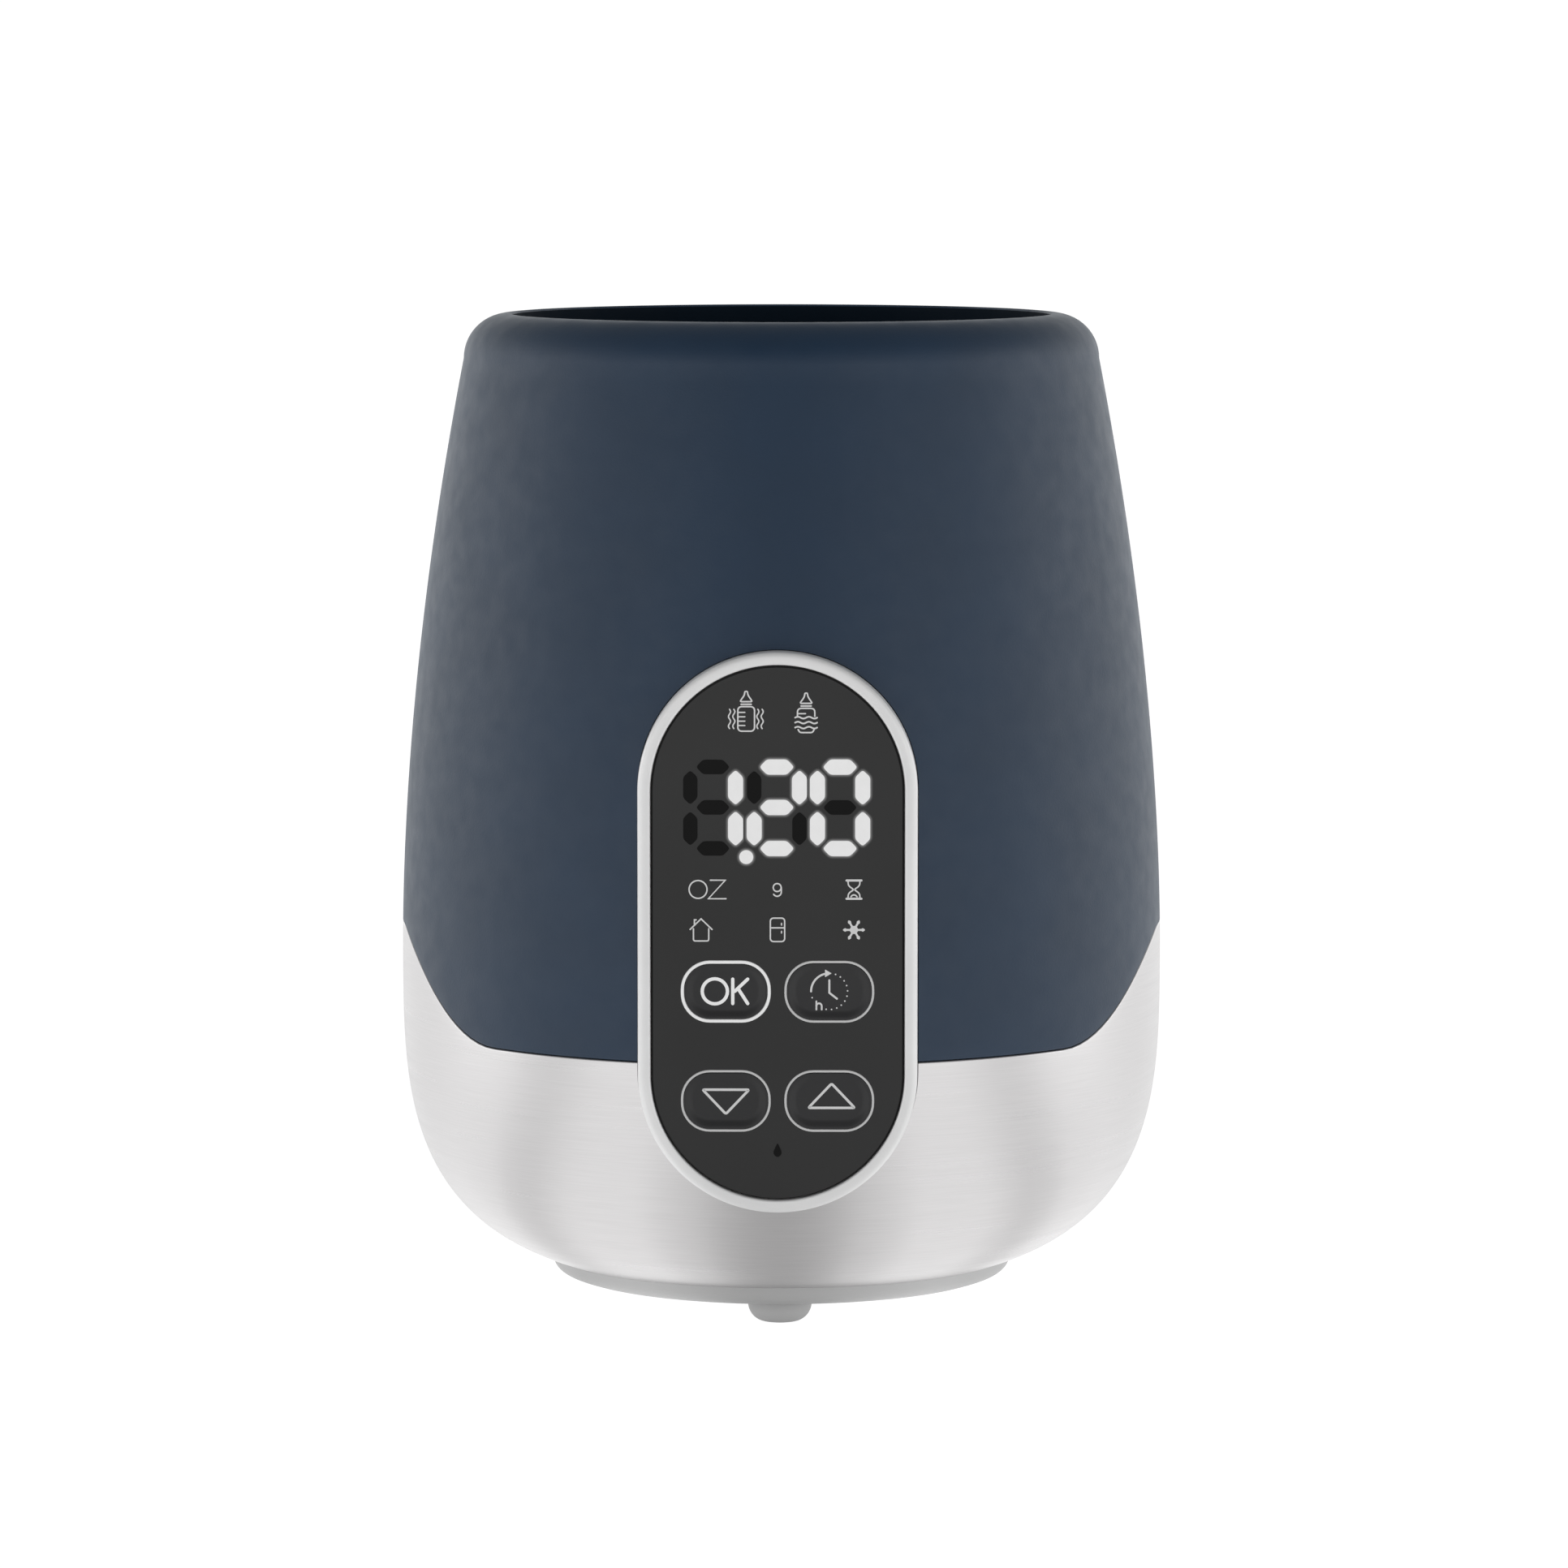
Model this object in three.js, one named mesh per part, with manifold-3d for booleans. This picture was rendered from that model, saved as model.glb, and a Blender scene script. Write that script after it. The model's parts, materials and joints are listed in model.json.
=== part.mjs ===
// A warmer for baby bottles. A tapered plastic body stands on a rounded steel cup, with an
// upright control panel in front, a heated water chamber inside and a basket that lifts out.
// Millimetres, +Z up. The origin is on the table, under the body's axis. The panel faces -Y.
import * as THREE from "three";
import { mergeVertices } from "three/addons/utils/BufferGeometryUtils.js";
import Module from "manifold-3d";

const wasm = await Module();
wasm.setup();

// ---- Driving dimensions ----

const GAP = 0.3; // clearance between pieces that touch
const ROUND = 36; // sides of the casing
const INNER_ROUND = 28; // sides of the turned pieces inside it
const SMALL_ROUND = 8; // sides of a post or a pin
const FOOT_ROUND = 16; // sides of a foot and of the cord bushing
const SCREW_ROUND = 6; // sides of a screw
const PAST = 1; // how far a cutting solid runs past the face it opens
const CORNERS = [45, 135, 225, 315]; // directions of four equal fixings, in degrees from +X
const THIRDS = [90, 210, 330]; // directions of three equal fixings, the first at the back

const HEIGHT = 156;
const BODY_RADIUS = 60; // at the widest height
const WIDEST_Z = 56;
const SHOULDER_Z = 149; // where the taper ends and the shoulder's arc begins
const SHOULDER_ARC = HEIGHT - SHOULDER_Z;
const TAPER_DROP = 10; // how much narrower the body is at the shoulder
const TAPER_POWER = 1.82;
const BOWL_DEPTH = 52.5; // half-height of the superellipse that rounds the cup
const BOWL_POWER = 3.3;

const MOUTH_RADIUS = 42.4;
const LIP_THICKNESS = 3;
const LIP_CHAMFER = 0.5;
const SHELL_WALL = 2.4;
const SKIRT_WALL = 1.2; // the part of the shell's wall that laps behind the cup
const SKIRT_Z = 38.5;
const SPLIT_LOW_Z = 44.8; // seam between shell and cup, at the front and back
const SPLIT_RISE = 15.4; // how much higher the seam is at the sides
const SPLIT_START = THREE.MathUtils.degToRad(47);
const SPLIT_END = THREE.MathUtils.degToRad(82.5);

const CUP_WALL = 0.9;
const CUP_FOOT_Z = 6.9;

const BASE_Z = 3.7; // underside of the base cover
const BASE_FLOOR = 2;
const FOOT_RADIUS = 5;
const FOOT_CIRCLE = 25.5;
const FOOT_SOCKET = 0.8; // depth of the base cover's recess for a foot
const BASE_SCREW_CIRCLE = 26;
const BASE_SCREW_SEAT_Z = 5.9; // where the heads of the base screws bear
const CHASSIS_Z = 10.2;
const CHASSIS_FLOOR = 2;
const POST_CIRCLE = 40;
const POST_TOP_Z = 41.9;
const SHELL_BOSS_CIRCLE = 53.5;
const SHELL_BOSS_RADIUS = 3.2;
const ARM_TOP_Z = 39;
const ARM_HEIGHT = 3.5;
const PILOT_RADIUS = 1.6; // hole that a casing screw cuts its thread in, or passes through

const CHAMBER_TOP_Z = 150.6;
const CHAMBER_BOTTOM_Z = 49.2;
const CHAMBER_RADIUS = 41; // inside, at the top
const PLATE_TOP_Z = 50.5; // the heated floor of the chamber
const PLATE_SHEET = 1.5;
const CHAMBER_FLANGE = 47.3; // radius of the chamber's lower flange and of the heater clamp
const CLAMP_SCREW_CIRCLE = 44.8;
const CLAMP_HOLE = 1.5;
const CLAMP_BOTTOM_Z = 42.2;
const ELEMENT_CIRCLE = 26;
const ELEMENT_RADIUS = 3.2;
const ELEMENT_LEG_Z = 37; // where the element's two ends stop
const SENSOR_X = 15;

const BOARD = { width: 58, depth: 42, z: 15.7, thickness: 1.6 };
const BOARD_SCREW_X = 25;
const BOARD_SCREW_Y = 17;
const BOARD_HOLE = 1.3;
const TERMINALS = { width: 14, depth: 8, height: 10.4, y: 13, pitch: 6 };

const PANEL_Z = 64.7; // centre of the panel
const BEZEL_WIDTH = 42.2;
const BEZEL_HEIGHT = 85;
const BEZEL_WALL = 2;
const BEZEL_DEPTH = 9.6;
const FASCIA_SET_BACK = 0.3;
const FASCIA_THICKNESS = 1.4;
const LEDGE_WIDTH = 1.5;
const CONTROL_BOARD_Y = 10; // distance behind the panel's front face
const CONTROL_BOARD_THICKNESS = 1.6;

const KEY_X = 7.8;
const UPPER_KEYS_Z = 55.9;
const LOWER_KEYS_Z = 39.3;
const KEY_RING = { width: 13.6, height: 9.5, radius: 4.4, line: 0.5 };
const KEY_PLACES = {
  ok: [-KEY_X, UPPER_KEYS_Z - PANEL_Z],
  timer: [KEY_X, UPPER_KEYS_Z - PANEL_Z],
  down: [-KEY_X, LOWER_KEYS_Z - PANEL_Z],
  up: [KEY_X, LOWER_KEYS_Z - PANEL_Z],
};
const KEY_STEM_END = 5.4;
const SWITCH_TIP = 6.2; // leaves 0.8 for the key's 0.7 of travel

const GLAND_Z = 26;
const GLAND_BORE = 3.6;
const GLAND_RADIUS = 5.5;
const GLAND_FLANGE = 1.1; // how much wider the flange is than the sleeve
const GLAND_LENGTH = 12;

const BASKET_FLOOR_Z = 52.5;
const BASKET_TOP_Z = 146;
const BASKET_INSIDE = 36.6;
const BASKET_WALL = 2;
const BASKET_RING_HEIGHT = 6;
const BASKET_TAB_HEIGHT = 4;

// ---- Finishes ----

const FINISHES = {
  navyPlastic: { color: 0x44546a, roughness: 0.6, metalness: 0 },
  brushedSteel: { color: 0xcfcfcf, roughness: 0.35, metalness: 1 },
  satinSilver: { color: 0xd2d2d2, roughness: 0.4, metalness: 0.6 },
  fasciaPlastic: { color: 0x373737, roughness: 0.35, metalness: 0 },
  keyPlastic: { color: 0x3a3a3a, roughness: 0.4, metalness: 0 },
  lightGuide: { color: 0xf2f2f2, roughness: 0.3, metalness: 0 },
  chamberPlastic: { color: 0x202a38, roughness: 0.5, metalness: 0 },
  greyPlastic: { color: 0x9a9898, roughness: 0.6, metalness: 0 },
  whitePlastic: { color: 0xe4e4e0, roughness: 0.5, metalness: 0 },
  blackPlastic: { color: 0x1d1d1f, roughness: 0.5, metalness: 0 },
  footRubber: { color: 0x6f6f6f, roughness: 0.8, metalness: 0 },
  sealRubber: { color: 0xb9bec2, roughness: 0.8, metalness: 0 },
  plateSteel: { color: 0xb8b8b8, roughness: 0.3, metalness: 1 },
  castAluminium: { color: 0xa9abad, roughness: 0.5, metalness: 1 },
  screwSteel: { color: 0xb0b0ae, roughness: 0.35, metalness: 1 },
  boardGreen: { color: 0x1f5a38, roughness: 0.5, metalness: 0 },
  copperWinding: { color: 0xb98a3c, roughness: 0.5, metalness: 0 },
  fuseGlass: { color: 0xcfd6d4, roughness: 0.15, metalness: 0 },
  redWire: { color: 0xa82a22, roughness: 0.5, metalness: 0 },
  blueWire: { color: 0x23479a, roughness: 0.5, metalness: 0 },
};

// ---- Solids: cutting, joining and naming ----

function manifoldOf(vertProperties, triVerts) {
  return new wasm.Manifold(new wasm.Mesh({ numProp: 3, vertProperties, triVerts }));
}

// The closed solid of a geometry, with its faces turned outwards.
function solidOf(geometry) {
  const bare = geometry.clone();
  bare.deleteAttribute("normal");
  bare.deleteAttribute("uv");
  const merged = mergeVertices(bare, 1e-4);
  const points = new Float32Array(merged.attributes.position.array);
  const triangles = new Uint32Array(merged.index.array);
  const solid = manifoldOf(points, triangles);
  if (solid.volume() > 0) return solid;
  for (let i = 0; i < triangles.length; i += 3) {
    [triangles[i + 1], triangles[i + 2]] = [triangles[i + 2], triangles[i + 1]];
  }
  return manifoldOf(points, triangles);
}

function geometryOf(solid) {
  const { vertProperties, triVerts } = solid.getMesh();
  const geometry = new THREE.BufferGeometry();
  geometry.setAttribute("position", new THREE.BufferAttribute(vertProperties, 3));
  geometry.setIndex(new THREE.BufferAttribute(triVerts, 1));
  geometry.computeVertexNormals();
  return geometry;
}

function joined(...geometries) {
  return geometryOf(geometries.map(solidOf).reduce((whole, piece) => whole.add(piece)));
}

function cut(geometry, ...tools) {
  return geometryOf(tools.map(solidOf).reduce((rest, tool) => rest.subtract(tool), solidOf(geometry)));
}

function addPart(group, name, geometry, finish, position = [0, 0, 0], rotation = [0, 0, 0]) {
  const material = new THREE.MeshStandardMaterial(FINISHES[finish]);
  const mesh = new THREE.Mesh(geometryOf(solidOf(geometry)), material);
  mesh.name = name;
  mesh.position.set(...position);
  mesh.rotation.set(...rotation);
  group.add(mesh);
}

// ---- Shapes ----

// A solid turned round the Z axis from [radius, z] corners that start and end on the axis,
// or that close on themselves.
function turned(corners, sides = INNER_ROUND) {
  const points = corners.map(([radius, z]) => new THREE.Vector2(radius, z));
  if (corners[0][0] > 0) points.push(points[0].clone());
  return new THREE.LatheGeometry(points, sides).rotateX(Math.PI / 2);
}

function turnedRing(inner, outer, bottom, top, sides = INNER_ROUND) {
  return turned([[inner, bottom], [outer, bottom], [outer, top], [inner, top]], sides);
}

// A hollow solid round the Z axis whose closed profile changes with the angle.
// profileAt(angle) gives the same number of [radius, z] corners at every angle.
function variedRing(profileAt) {
  const positions = [];
  const indices = [];
  for (let i = 0; i < ROUND; i++) {
    const angle = (2 * Math.PI * i) / ROUND;
    const profile = profileAt(angle);
    const count = profile.length;
    const next = ((i + 1) % ROUND) * count;
    profile.forEach(([radius, z], j) => {
      positions.push(radius * Math.cos(angle), radius * Math.sin(angle), z);
      const k = (j + 1) % count;
      indices.push(i * count + j, next + j, next + k, i * count + j, next + k, i * count + k);
    });
  }
  const geometry = new THREE.BufferGeometry();
  geometry.setAttribute("position", new THREE.Float32BufferAttribute(positions, 3));
  geometry.setIndex(indices);
  return geometry;
}

function roundedOutline(width, height, radius, x = 0, y = 0, Outline = THREE.Shape) {
  const right = x + width / 2 - radius;
  const left = x - width / 2 + radius;
  const top = y + height / 2 - radius;
  const bottom = y - height / 2 + radius;
  const outline = new Outline();
  outline.absarc(right, top, radius, 0, Math.PI / 2);
  outline.absarc(left, top, radius, Math.PI / 2, Math.PI);
  outline.absarc(left, bottom, radius, Math.PI, 1.5 * Math.PI);
  outline.absarc(right, bottom, radius, 1.5 * Math.PI, 2 * Math.PI);
  return outline;
}

function roundedHole(width, height, radius, x, y) {
  return roundedOutline(width, height, radius, x, y, THREE.Path);
}

function roundHole(radius, x, y) {
  return new THREE.Path().absarc(x, y, radius, 0, 2 * Math.PI);
}

// The panel's outline, narrower on every side by inset: straight sides and round ends.
function panelOutline(inset, Outline = THREE.Shape) {
  const width = BEZEL_WIDTH - 2 * inset;
  return roundedOutline(width, BEZEL_HEIGHT - 2 * inset, width / 2, 0, 0, Outline);
}

function withHoles(outline, ...holes) {
  outline.holes.push(...holes);
  return outline;
}

// A level plate: its outline is in X and Y.
function levelPlate(outline, bottom, top, curveSegments = 4) {
  const options = { depth: top - bottom, bevelEnabled: false, curveSegments };
  return new THREE.ExtrudeGeometry(outline, options).translate(0, 0, bottom);
}

// An upright plate that faces the front: its outline is in X and Z.
function frontPlate(outline, front, back, curveSegments = 4) {
  const options = { depth: back - front, bevelEnabled: false, curveSegments };
  return new THREE.ExtrudeGeometry(outline, options).rotateX(Math.PI / 2).translate(0, back, 0);
}

function block(width, depth, height, x, y, bottom) {
  return new THREE.BoxGeometry(width, depth, height).translate(x, y, bottom + height / 2);
}

// A round bar along Z, or along Y when it belongs to the upright panel.
function post(radius, x, y, bottom, top, sides = SMALL_ROUND) {
  const bar = new THREE.CylinderGeometry(radius, radius, top - bottom, sides);
  return bar.rotateX(Math.PI / 2).translate(x, y, (bottom + top) / 2);
}

function frontPost(radius, x, z, front, back, sides = SMALL_ROUND) {
  const bar = new THREE.CylinderGeometry(radius, radius, back - front, sides);
  return bar.translate(x, (front + back) / 2, z);
}

function tube(curve, radius, sides, steps) {
  const section = new THREE.Shape().absarc(0, 0, radius, 0, 2 * Math.PI);
  const options = { steps, extrudePath: curve, bevelEnabled: false, curveSegments: sides / 2 };
  return new THREE.ExtrudeGeometry(section, options);
}

function wire(points, radius) {
  const curve = new THREE.CatmullRomCurve3(points.map((point) => new THREE.Vector3(...point)));
  return tube(curve, radius, 6, 12);
}

// A screw whose head bears on z = 0 from below, with its shank pointing up.
function screw(headRadius, headHeight, shankRadius, shankLength) {
  return turned(
    [
      [0, -headHeight],
      [headRadius, -headHeight],
      [headRadius, 0],
      [shankRadius, 0],
      [shankRadius, shankLength],
      [0, shankLength],
    ],
    SCREW_ROUND,
  );
}

// A place on a circle round the body's axis, its angle in degrees from +X.
function onCircle(radius, degrees) {
  const angle = THREE.MathUtils.degToRad(degrees);
  return [radius * Math.cos(angle), radius * Math.sin(angle)];
}

// ---- The body's outer surface ----

function bodyRadius(z) {
  if (z < WIDEST_Z) {
    const drop = ((WIDEST_Z - z) / BOWL_DEPTH) ** BOWL_POWER;
    return BODY_RADIUS * (1 - drop) ** (1 / BOWL_POWER);
  }
  return BODY_RADIUS - TAPER_DROP * ((z - WIDEST_Z) / (SHOULDER_Z - WIDEST_Z)) ** TAPER_POWER;
}

// The [radius, z] point at a depth below the outer surface, square to it at height z.
function underSurface(z, depth) {
  const step = 0.01;
  const slope = (bodyRadius(z + step) - bodyRadius(z - step)) / (2 * step);
  const length = Math.hypot(1, slope);
  return [bodyRadius(z) - depth / length, z + (depth * slope) / length];
}

// Height of the seam between the shell and the cup: low at the front and back, high at the sides.
function splitZ(angle) {
  const fromFront = Math.atan2(Math.abs(Math.cos(angle)), Math.abs(Math.sin(angle)));
  return SPLIT_LOW_Z + SPLIT_RISE * THREE.MathUtils.smoothstep(fromFront, SPLIT_START, SPLIT_END);
}

// Heights from low to high, closer together near the low end as power grows.
function heights(low, high, steps, power = 1) {
  return Array.from({ length: steps + 1 }, (_, i) => low + (high - low) * (i / steps) ** power);
}

function shoulderArc(radius, fromAngle, toAngle, steps) {
  const centre = bodyRadius(SHOULDER_Z) - SHOULDER_ARC;
  return heights(fromAngle, toAngle, steps).map((angle) => [
    centre + radius * Math.cos(angle),
    SHOULDER_Z + radius * Math.sin(angle),
  ]);
}

// The hole that the panel passes through in the shell and the cup.
function panelCutter() {
  const reach = BEZEL_DEPTH + 6;
  return frontPlate(panelOutline(-GAP), -PAST, reach).translate(0, -BODY_RADIUS, PANEL_Z);
}

// ---- Casing ----

function upperShell() {
  const lipUnderside = HEIGHT - LIP_THICKNESS;
  const innerArc = SHOULDER_ARC - SHELL_WALL;
  const lipAngle = Math.asin((lipUnderside - SHOULDER_Z) / innerArc);
  const insideHeights = heights(SKIRT_Z, SHOULDER_Z, 5).reverse().slice(1);
  const profileAt = (angle) => {
    const split = splitZ(angle);
    return [
      [bodyRadius(SKIRT_Z) - SKIRT_WALL, SKIRT_Z],
      [bodyRadius(split) - SKIRT_WALL, split],
      ...heights(split, SHOULDER_Z, 7).map((z) => [bodyRadius(z), z]),
      ...shoulderArc(SHOULDER_ARC, 0, Math.PI / 2, 5).slice(1),
      [MOUTH_RADIUS + LIP_CHAMFER, HEIGHT],
      [MOUTH_RADIUS, HEIGHT - LIP_CHAMFER],
      [MOUTH_RADIUS, lipUnderside],
      ...shoulderArc(innerArc, lipAngle, 0, 3),
      ...insideHeights.map((z) => [bodyRadius(z) - SHELL_WALL, z]),
    ];
  };
  const bossBottom = ARM_TOP_Z + GAP;
  const bossHeight = 12;
  const holeDepth = 8.5;
  const rib = { length: bodyRadius(SKIRT_Z) - SKIRT_WALL - 0.2 - SHELL_BOSS_CIRCLE, width: 2, height: 14 };
  const bosses = CORNERS.flatMap((degrees) => {
    const [x, y] = onCircle(SHELL_BOSS_CIRCLE, degrees);
    const middle = SHELL_BOSS_CIRCLE + rib.length / 2;
    const web = block(rib.length, rib.width, rib.height, middle, 0, bossBottom);
    web.rotateZ(THREE.MathUtils.degToRad(degrees));
    return [post(SHELL_BOSS_RADIUS, x, y, bossBottom, bossBottom + bossHeight), web];
  });
  const holes = CORNERS.map((degrees) => {
    const [x, y] = onCircle(SHELL_BOSS_CIRCLE, degrees);
    return post(PILOT_RADIUS, x, y, ARM_TOP_Z, ARM_TOP_Z + holeDepth);
  });
  return cut(joined(variedRing(profileAt), ...bosses), panelCutter(), ...holes);
}

function steelCup() {
  const profileAt = (angle) => {
    const levels = heights(CUP_FOOT_Z, splitZ(angle) - GAP, 8, 1.7);
    const outside = levels.map((z) => [bodyRadius(z), z]);
    const inside = levels.map((z) => underSurface(z, CUP_WALL)).reverse();
    return [...outside, ...inside];
  };
  const inside = BODY_RADIUS - 20;
  const cordHole = frontPost(GLAND_RADIUS + GAP, 0, GLAND_Z, inside, BODY_RADIUS + PAST, FOOT_ROUND);
  return cut(variedRing(profileAt), panelCutter(), cordHole);
}

function baseCover() {
  const rimRadius = 36.7;
  const rimTop = CUP_FOOT_Z - GAP;
  const floorRadius = 33;
  const upstand = { inside: 33.4, outside: 35.6, top: CHASSIS_Z - GAP };
  const floorTop = BASE_Z + BASE_FLOOR;
  const edge = heights(0, Math.PI / 2, 3).map((angle) => [
    floorRadius + (rimRadius - floorRadius) * Math.sin(angle),
    rimTop - (rimTop - BASE_Z) * Math.cos(angle),
  ]);
  const dish = turned([
    [0, BASE_Z],
    ...edge,
    [upstand.outside, rimTop],
    [upstand.outside, upstand.top],
    [upstand.inside, upstand.top],
    [upstand.inside, floorTop],
    [0, floorTop],
  ], ROUND);
  const boss = { radius: 4.4, top: floorTop + 2 };
  const headRecess = 3.3;
  const shankHole = 1.7;
  const bosses = [];
  const holes = [];
  for (const degrees of THIRDS) {
    const [x, y] = onCircle(BASE_SCREW_CIRCLE, degrees);
    bosses.push(post(boss.radius, x, y, BASE_Z + 0.5, boss.top));
    holes.push(post(headRecess, x, y, BASE_Z - PAST, BASE_SCREW_SEAT_Z));
    holes.push(post(shankHole, x, y, BASE_SCREW_SEAT_Z - PAST, boss.top + PAST));
    const [footX, footY] = onCircle(FOOT_CIRCLE, degrees + 180);
    const socketTop = BASE_Z + FOOT_SOCKET;
    holes.push(post(FOOT_RADIUS + GAP, footX, footY, BASE_Z - PAST, socketTop, FOOT_ROUND));
  }
  return cut(joined(dish, ...bosses), ...holes);
}

// The frame inside the cup. It carries the power board, and its posts hold the chamber up.
function chassis() {
  const floorTop = CHASSIS_Z + CHASSIS_FLOOR;
  const collar = { inside: 37.2, outside: 39.2, bottom: 9.3 }; // stands round the base cover's upstand
  const floorRadius = 41.6;
  const floor = turned([
    [0, CHASSIS_Z],
    [collar.inside, CHASSIS_Z],
    [collar.inside, collar.bottom],
    [collar.outside, collar.bottom],
    [collar.outside, CHASSIS_Z],
    [floorRadius, CHASSIS_Z],
    [floorRadius, floorTop],
    [0, floorTop],
  ]);
  const postRadius = 3.5;
  const arm = { length: SHELL_BOSS_CIRCLE - POST_CIRCLE, width: 5, bottom: ARM_TOP_Z - ARM_HEIGHT };
  const pieces = [floor];
  const holes = [];
  for (const degrees of CORNERS) {
    const [x, y] = onCircle(POST_CIRCLE, degrees);
    const [bossX, bossY] = onCircle(SHELL_BOSS_CIRCLE, degrees);
    const middle = POST_CIRCLE + arm.length / 2;
    const bar = block(arm.length, arm.width, ARM_HEIGHT, middle, 0, arm.bottom);
    pieces.push(post(postRadius, x, y, floorTop - 0.5, POST_TOP_Z));
    pieces.push(bar.rotateZ(THREE.MathUtils.degToRad(degrees)));
    pieces.push(post(SHELL_BOSS_RADIUS, bossX, bossY, arm.bottom, ARM_TOP_Z));
    holes.push(post(PILOT_RADIUS, bossX, bossY, arm.bottom - PAST, ARM_TOP_Z + PAST));
  }
  const baseBoss = { radius: 3.4, bottom: 8 };
  for (const degrees of THIRDS) {
    const [x, y] = onCircle(BASE_SCREW_CIRCLE, degrees);
    pieces.push(post(baseBoss.radius, x, y, baseBoss.bottom, CHASSIS_Z + 1));
    holes.push(post(PILOT_RADIUS, x, y, baseBoss.bottom - PAST, floorTop - 0.4));
  }
  const standoffRadius = 2.6;
  for (const x of [-BOARD_SCREW_X, BOARD_SCREW_X]) {
    for (const y of [-BOARD_SCREW_Y, BOARD_SCREW_Y]) {
      pieces.push(post(standoffRadius, x, y, floorTop - 0.5, BOARD.z - GAP));
      holes.push(post(BOARD_HOLE, x, y, floorTop, BOARD.z));
    }
  }
  return cut(joined(...pieces), ...holes);
}

function foot() {
  const edge = 1.1;
  const curve = heights(0, Math.PI / 2, 3).map((angle) => [
    FOOT_RADIUS - edge + edge * Math.sin(angle),
    edge - edge * Math.cos(angle),
  ]);
  const top = BASE_Z + FOOT_SOCKET - GAP;
  return turned([[0, 0], ...curve, [FOOT_RADIUS, top], [0, top]], FOOT_ROUND);
}

function makeCasing() {
  const group = new THREE.Group();
  addPart(group, "upper_shell", upperShell(), "navyPlastic");
  addPart(group, "steel_cup", steelCup(), "brushedSteel");
  addPart(group, "base_cover", baseCover(), "greyPlastic");
  addPart(group, "chassis", chassis(), "whitePlastic");
  for (const [name, degrees] of [["front", 270], ["rear_right", 30], ["rear_left", 150]]) {
    addPart(group, "foot_" + name, foot(), "footRubber", [...onCircle(FOOT_CIRCLE, degrees), 0]);
  }
  THIRDS.forEach((degrees, i) => {
    const place = [...onCircle(BASE_SCREW_CIRCLE, degrees), BASE_SCREW_SEAT_Z - GAP];
    addPart(group, "base_screw_" + (i + 1), screw(2.8, 1.6, 1.3, 5.8), "screwSteel", place);
  });
  CORNERS.forEach((degrees, i) => {
    const place = [...onCircle(SHELL_BOSS_CIRCLE, degrees), ARM_TOP_Z - ARM_HEIGHT - GAP];
    addPart(group, "shell_screw_" + (i + 1), screw(2.6, 1.4, 1.3, 11), "screwSteel", place);
  });
  return group;
}

// What the cup fills near the bushing, with a gap round it, for fitting the bushing's flange.
function cupOuterSolid() {
  const low = GLAND_Z - 12;
  const high = GLAND_Z + 12;
  const outside = heights(low, high, 6).map((z) => [bodyRadius(z) + GAP, z]);
  return turned([[0, low], ...outside, [0, high]], ROUND);
}

// The bushing that the mains cord would leave through, and its nut inside the cup.
function makeGland() {
  const group = new THREE.Group();
  group.position.set(0, BODY_RADIUS, GLAND_Z);
  const reach = 8;
  const collar = frontPost(GLAND_RADIUS + GLAND_FLANGE, 0, 0, -reach, 0, FOOT_ROUND);
  const flange = cut(collar, cupOuterSolid().translate(0, -BODY_RADIUS, -GLAND_Z));
  const sleeve = frontPost(GLAND_RADIUS, 0, 0, -GLAND_LENGTH, -0.5, FOOT_ROUND);
  const bore = frontPost(GLAND_BORE, 0, 0, -GLAND_LENGTH - PAST, PAST, FOOT_ROUND);
  addPart(group, "cord_gland", cut(joined(flange, sleeve), bore), "blackPlastic");
  const nut = { radius: 7.8, sides: 6, inner: -11, outer: -9 };
  const hexagon = frontPost(nut.radius, 0, 0, nut.inner, nut.outer, nut.sides);
  const nutHole = frontPost(GLAND_RADIUS + GAP, 0, 0, nut.inner - PAST, nut.outer + PAST, FOOT_ROUND);
  addPart(group, "gland_nut", cut(hexagon, nutHole), "blackPlastic");
  return group;
}

// ---- Water chamber and heater ----

function waterChamber() {
  const wall = 2;
  const draft = 1.1; // how much narrower the chamber is at its floor
  const windowRadius = 36.5; // the opening in the floor that the heated plate fills
  const rimRadius = 46;
  const floorTop = CHAMBER_BOTTOM_Z + wall;
  const flangeTop = floorTop + 0.3;
  const bottomRadius = CHAMBER_RADIUS - draft;
  const body = turned([
    [windowRadius, CHAMBER_BOTTOM_Z],
    [CHAMBER_FLANGE, CHAMBER_BOTTOM_Z],
    [CHAMBER_FLANGE, flangeTop],
    [bottomRadius + wall, flangeTop],
    [CHAMBER_RADIUS + wall, CHAMBER_TOP_Z - wall],
    [rimRadius, CHAMBER_TOP_Z - wall],
    [rimRadius, CHAMBER_TOP_Z],
    [CHAMBER_RADIUS, CHAMBER_TOP_Z],
    [bottomRadius, floorTop],
    [windowRadius, floorTop],
  ]);
  const holes = THIRDS.map((degrees) => {
    const [x, y] = onCircle(CLAMP_SCREW_CIRCLE, degrees);
    return post(CLAMP_HOLE, x, y, CHAMBER_BOTTOM_Z - PAST, floorTop + PAST);
  });
  return cut(body, ...holes);
}

// A dished steel plate: its raised middle is the chamber's floor, its rim is clamped.
function heaterPlate() {
  const rim = { top: 47, radius: 42 };
  const raised = 35.8; // radius of the raised middle
  const hollow = raised - PLATE_SHEET;
  return turned([
    [0, PLATE_TOP_Z - PLATE_SHEET],
    [hollow, PLATE_TOP_Z - PLATE_SHEET],
    [hollow, rim.top - PLATE_SHEET],
    [rim.radius, rim.top - PLATE_SHEET],
    [rim.radius, rim.top],
    [raised, rim.top],
    [raised, PLATE_TOP_Z],
    [0, PLATE_TOP_Z],
  ]);
}

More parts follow.
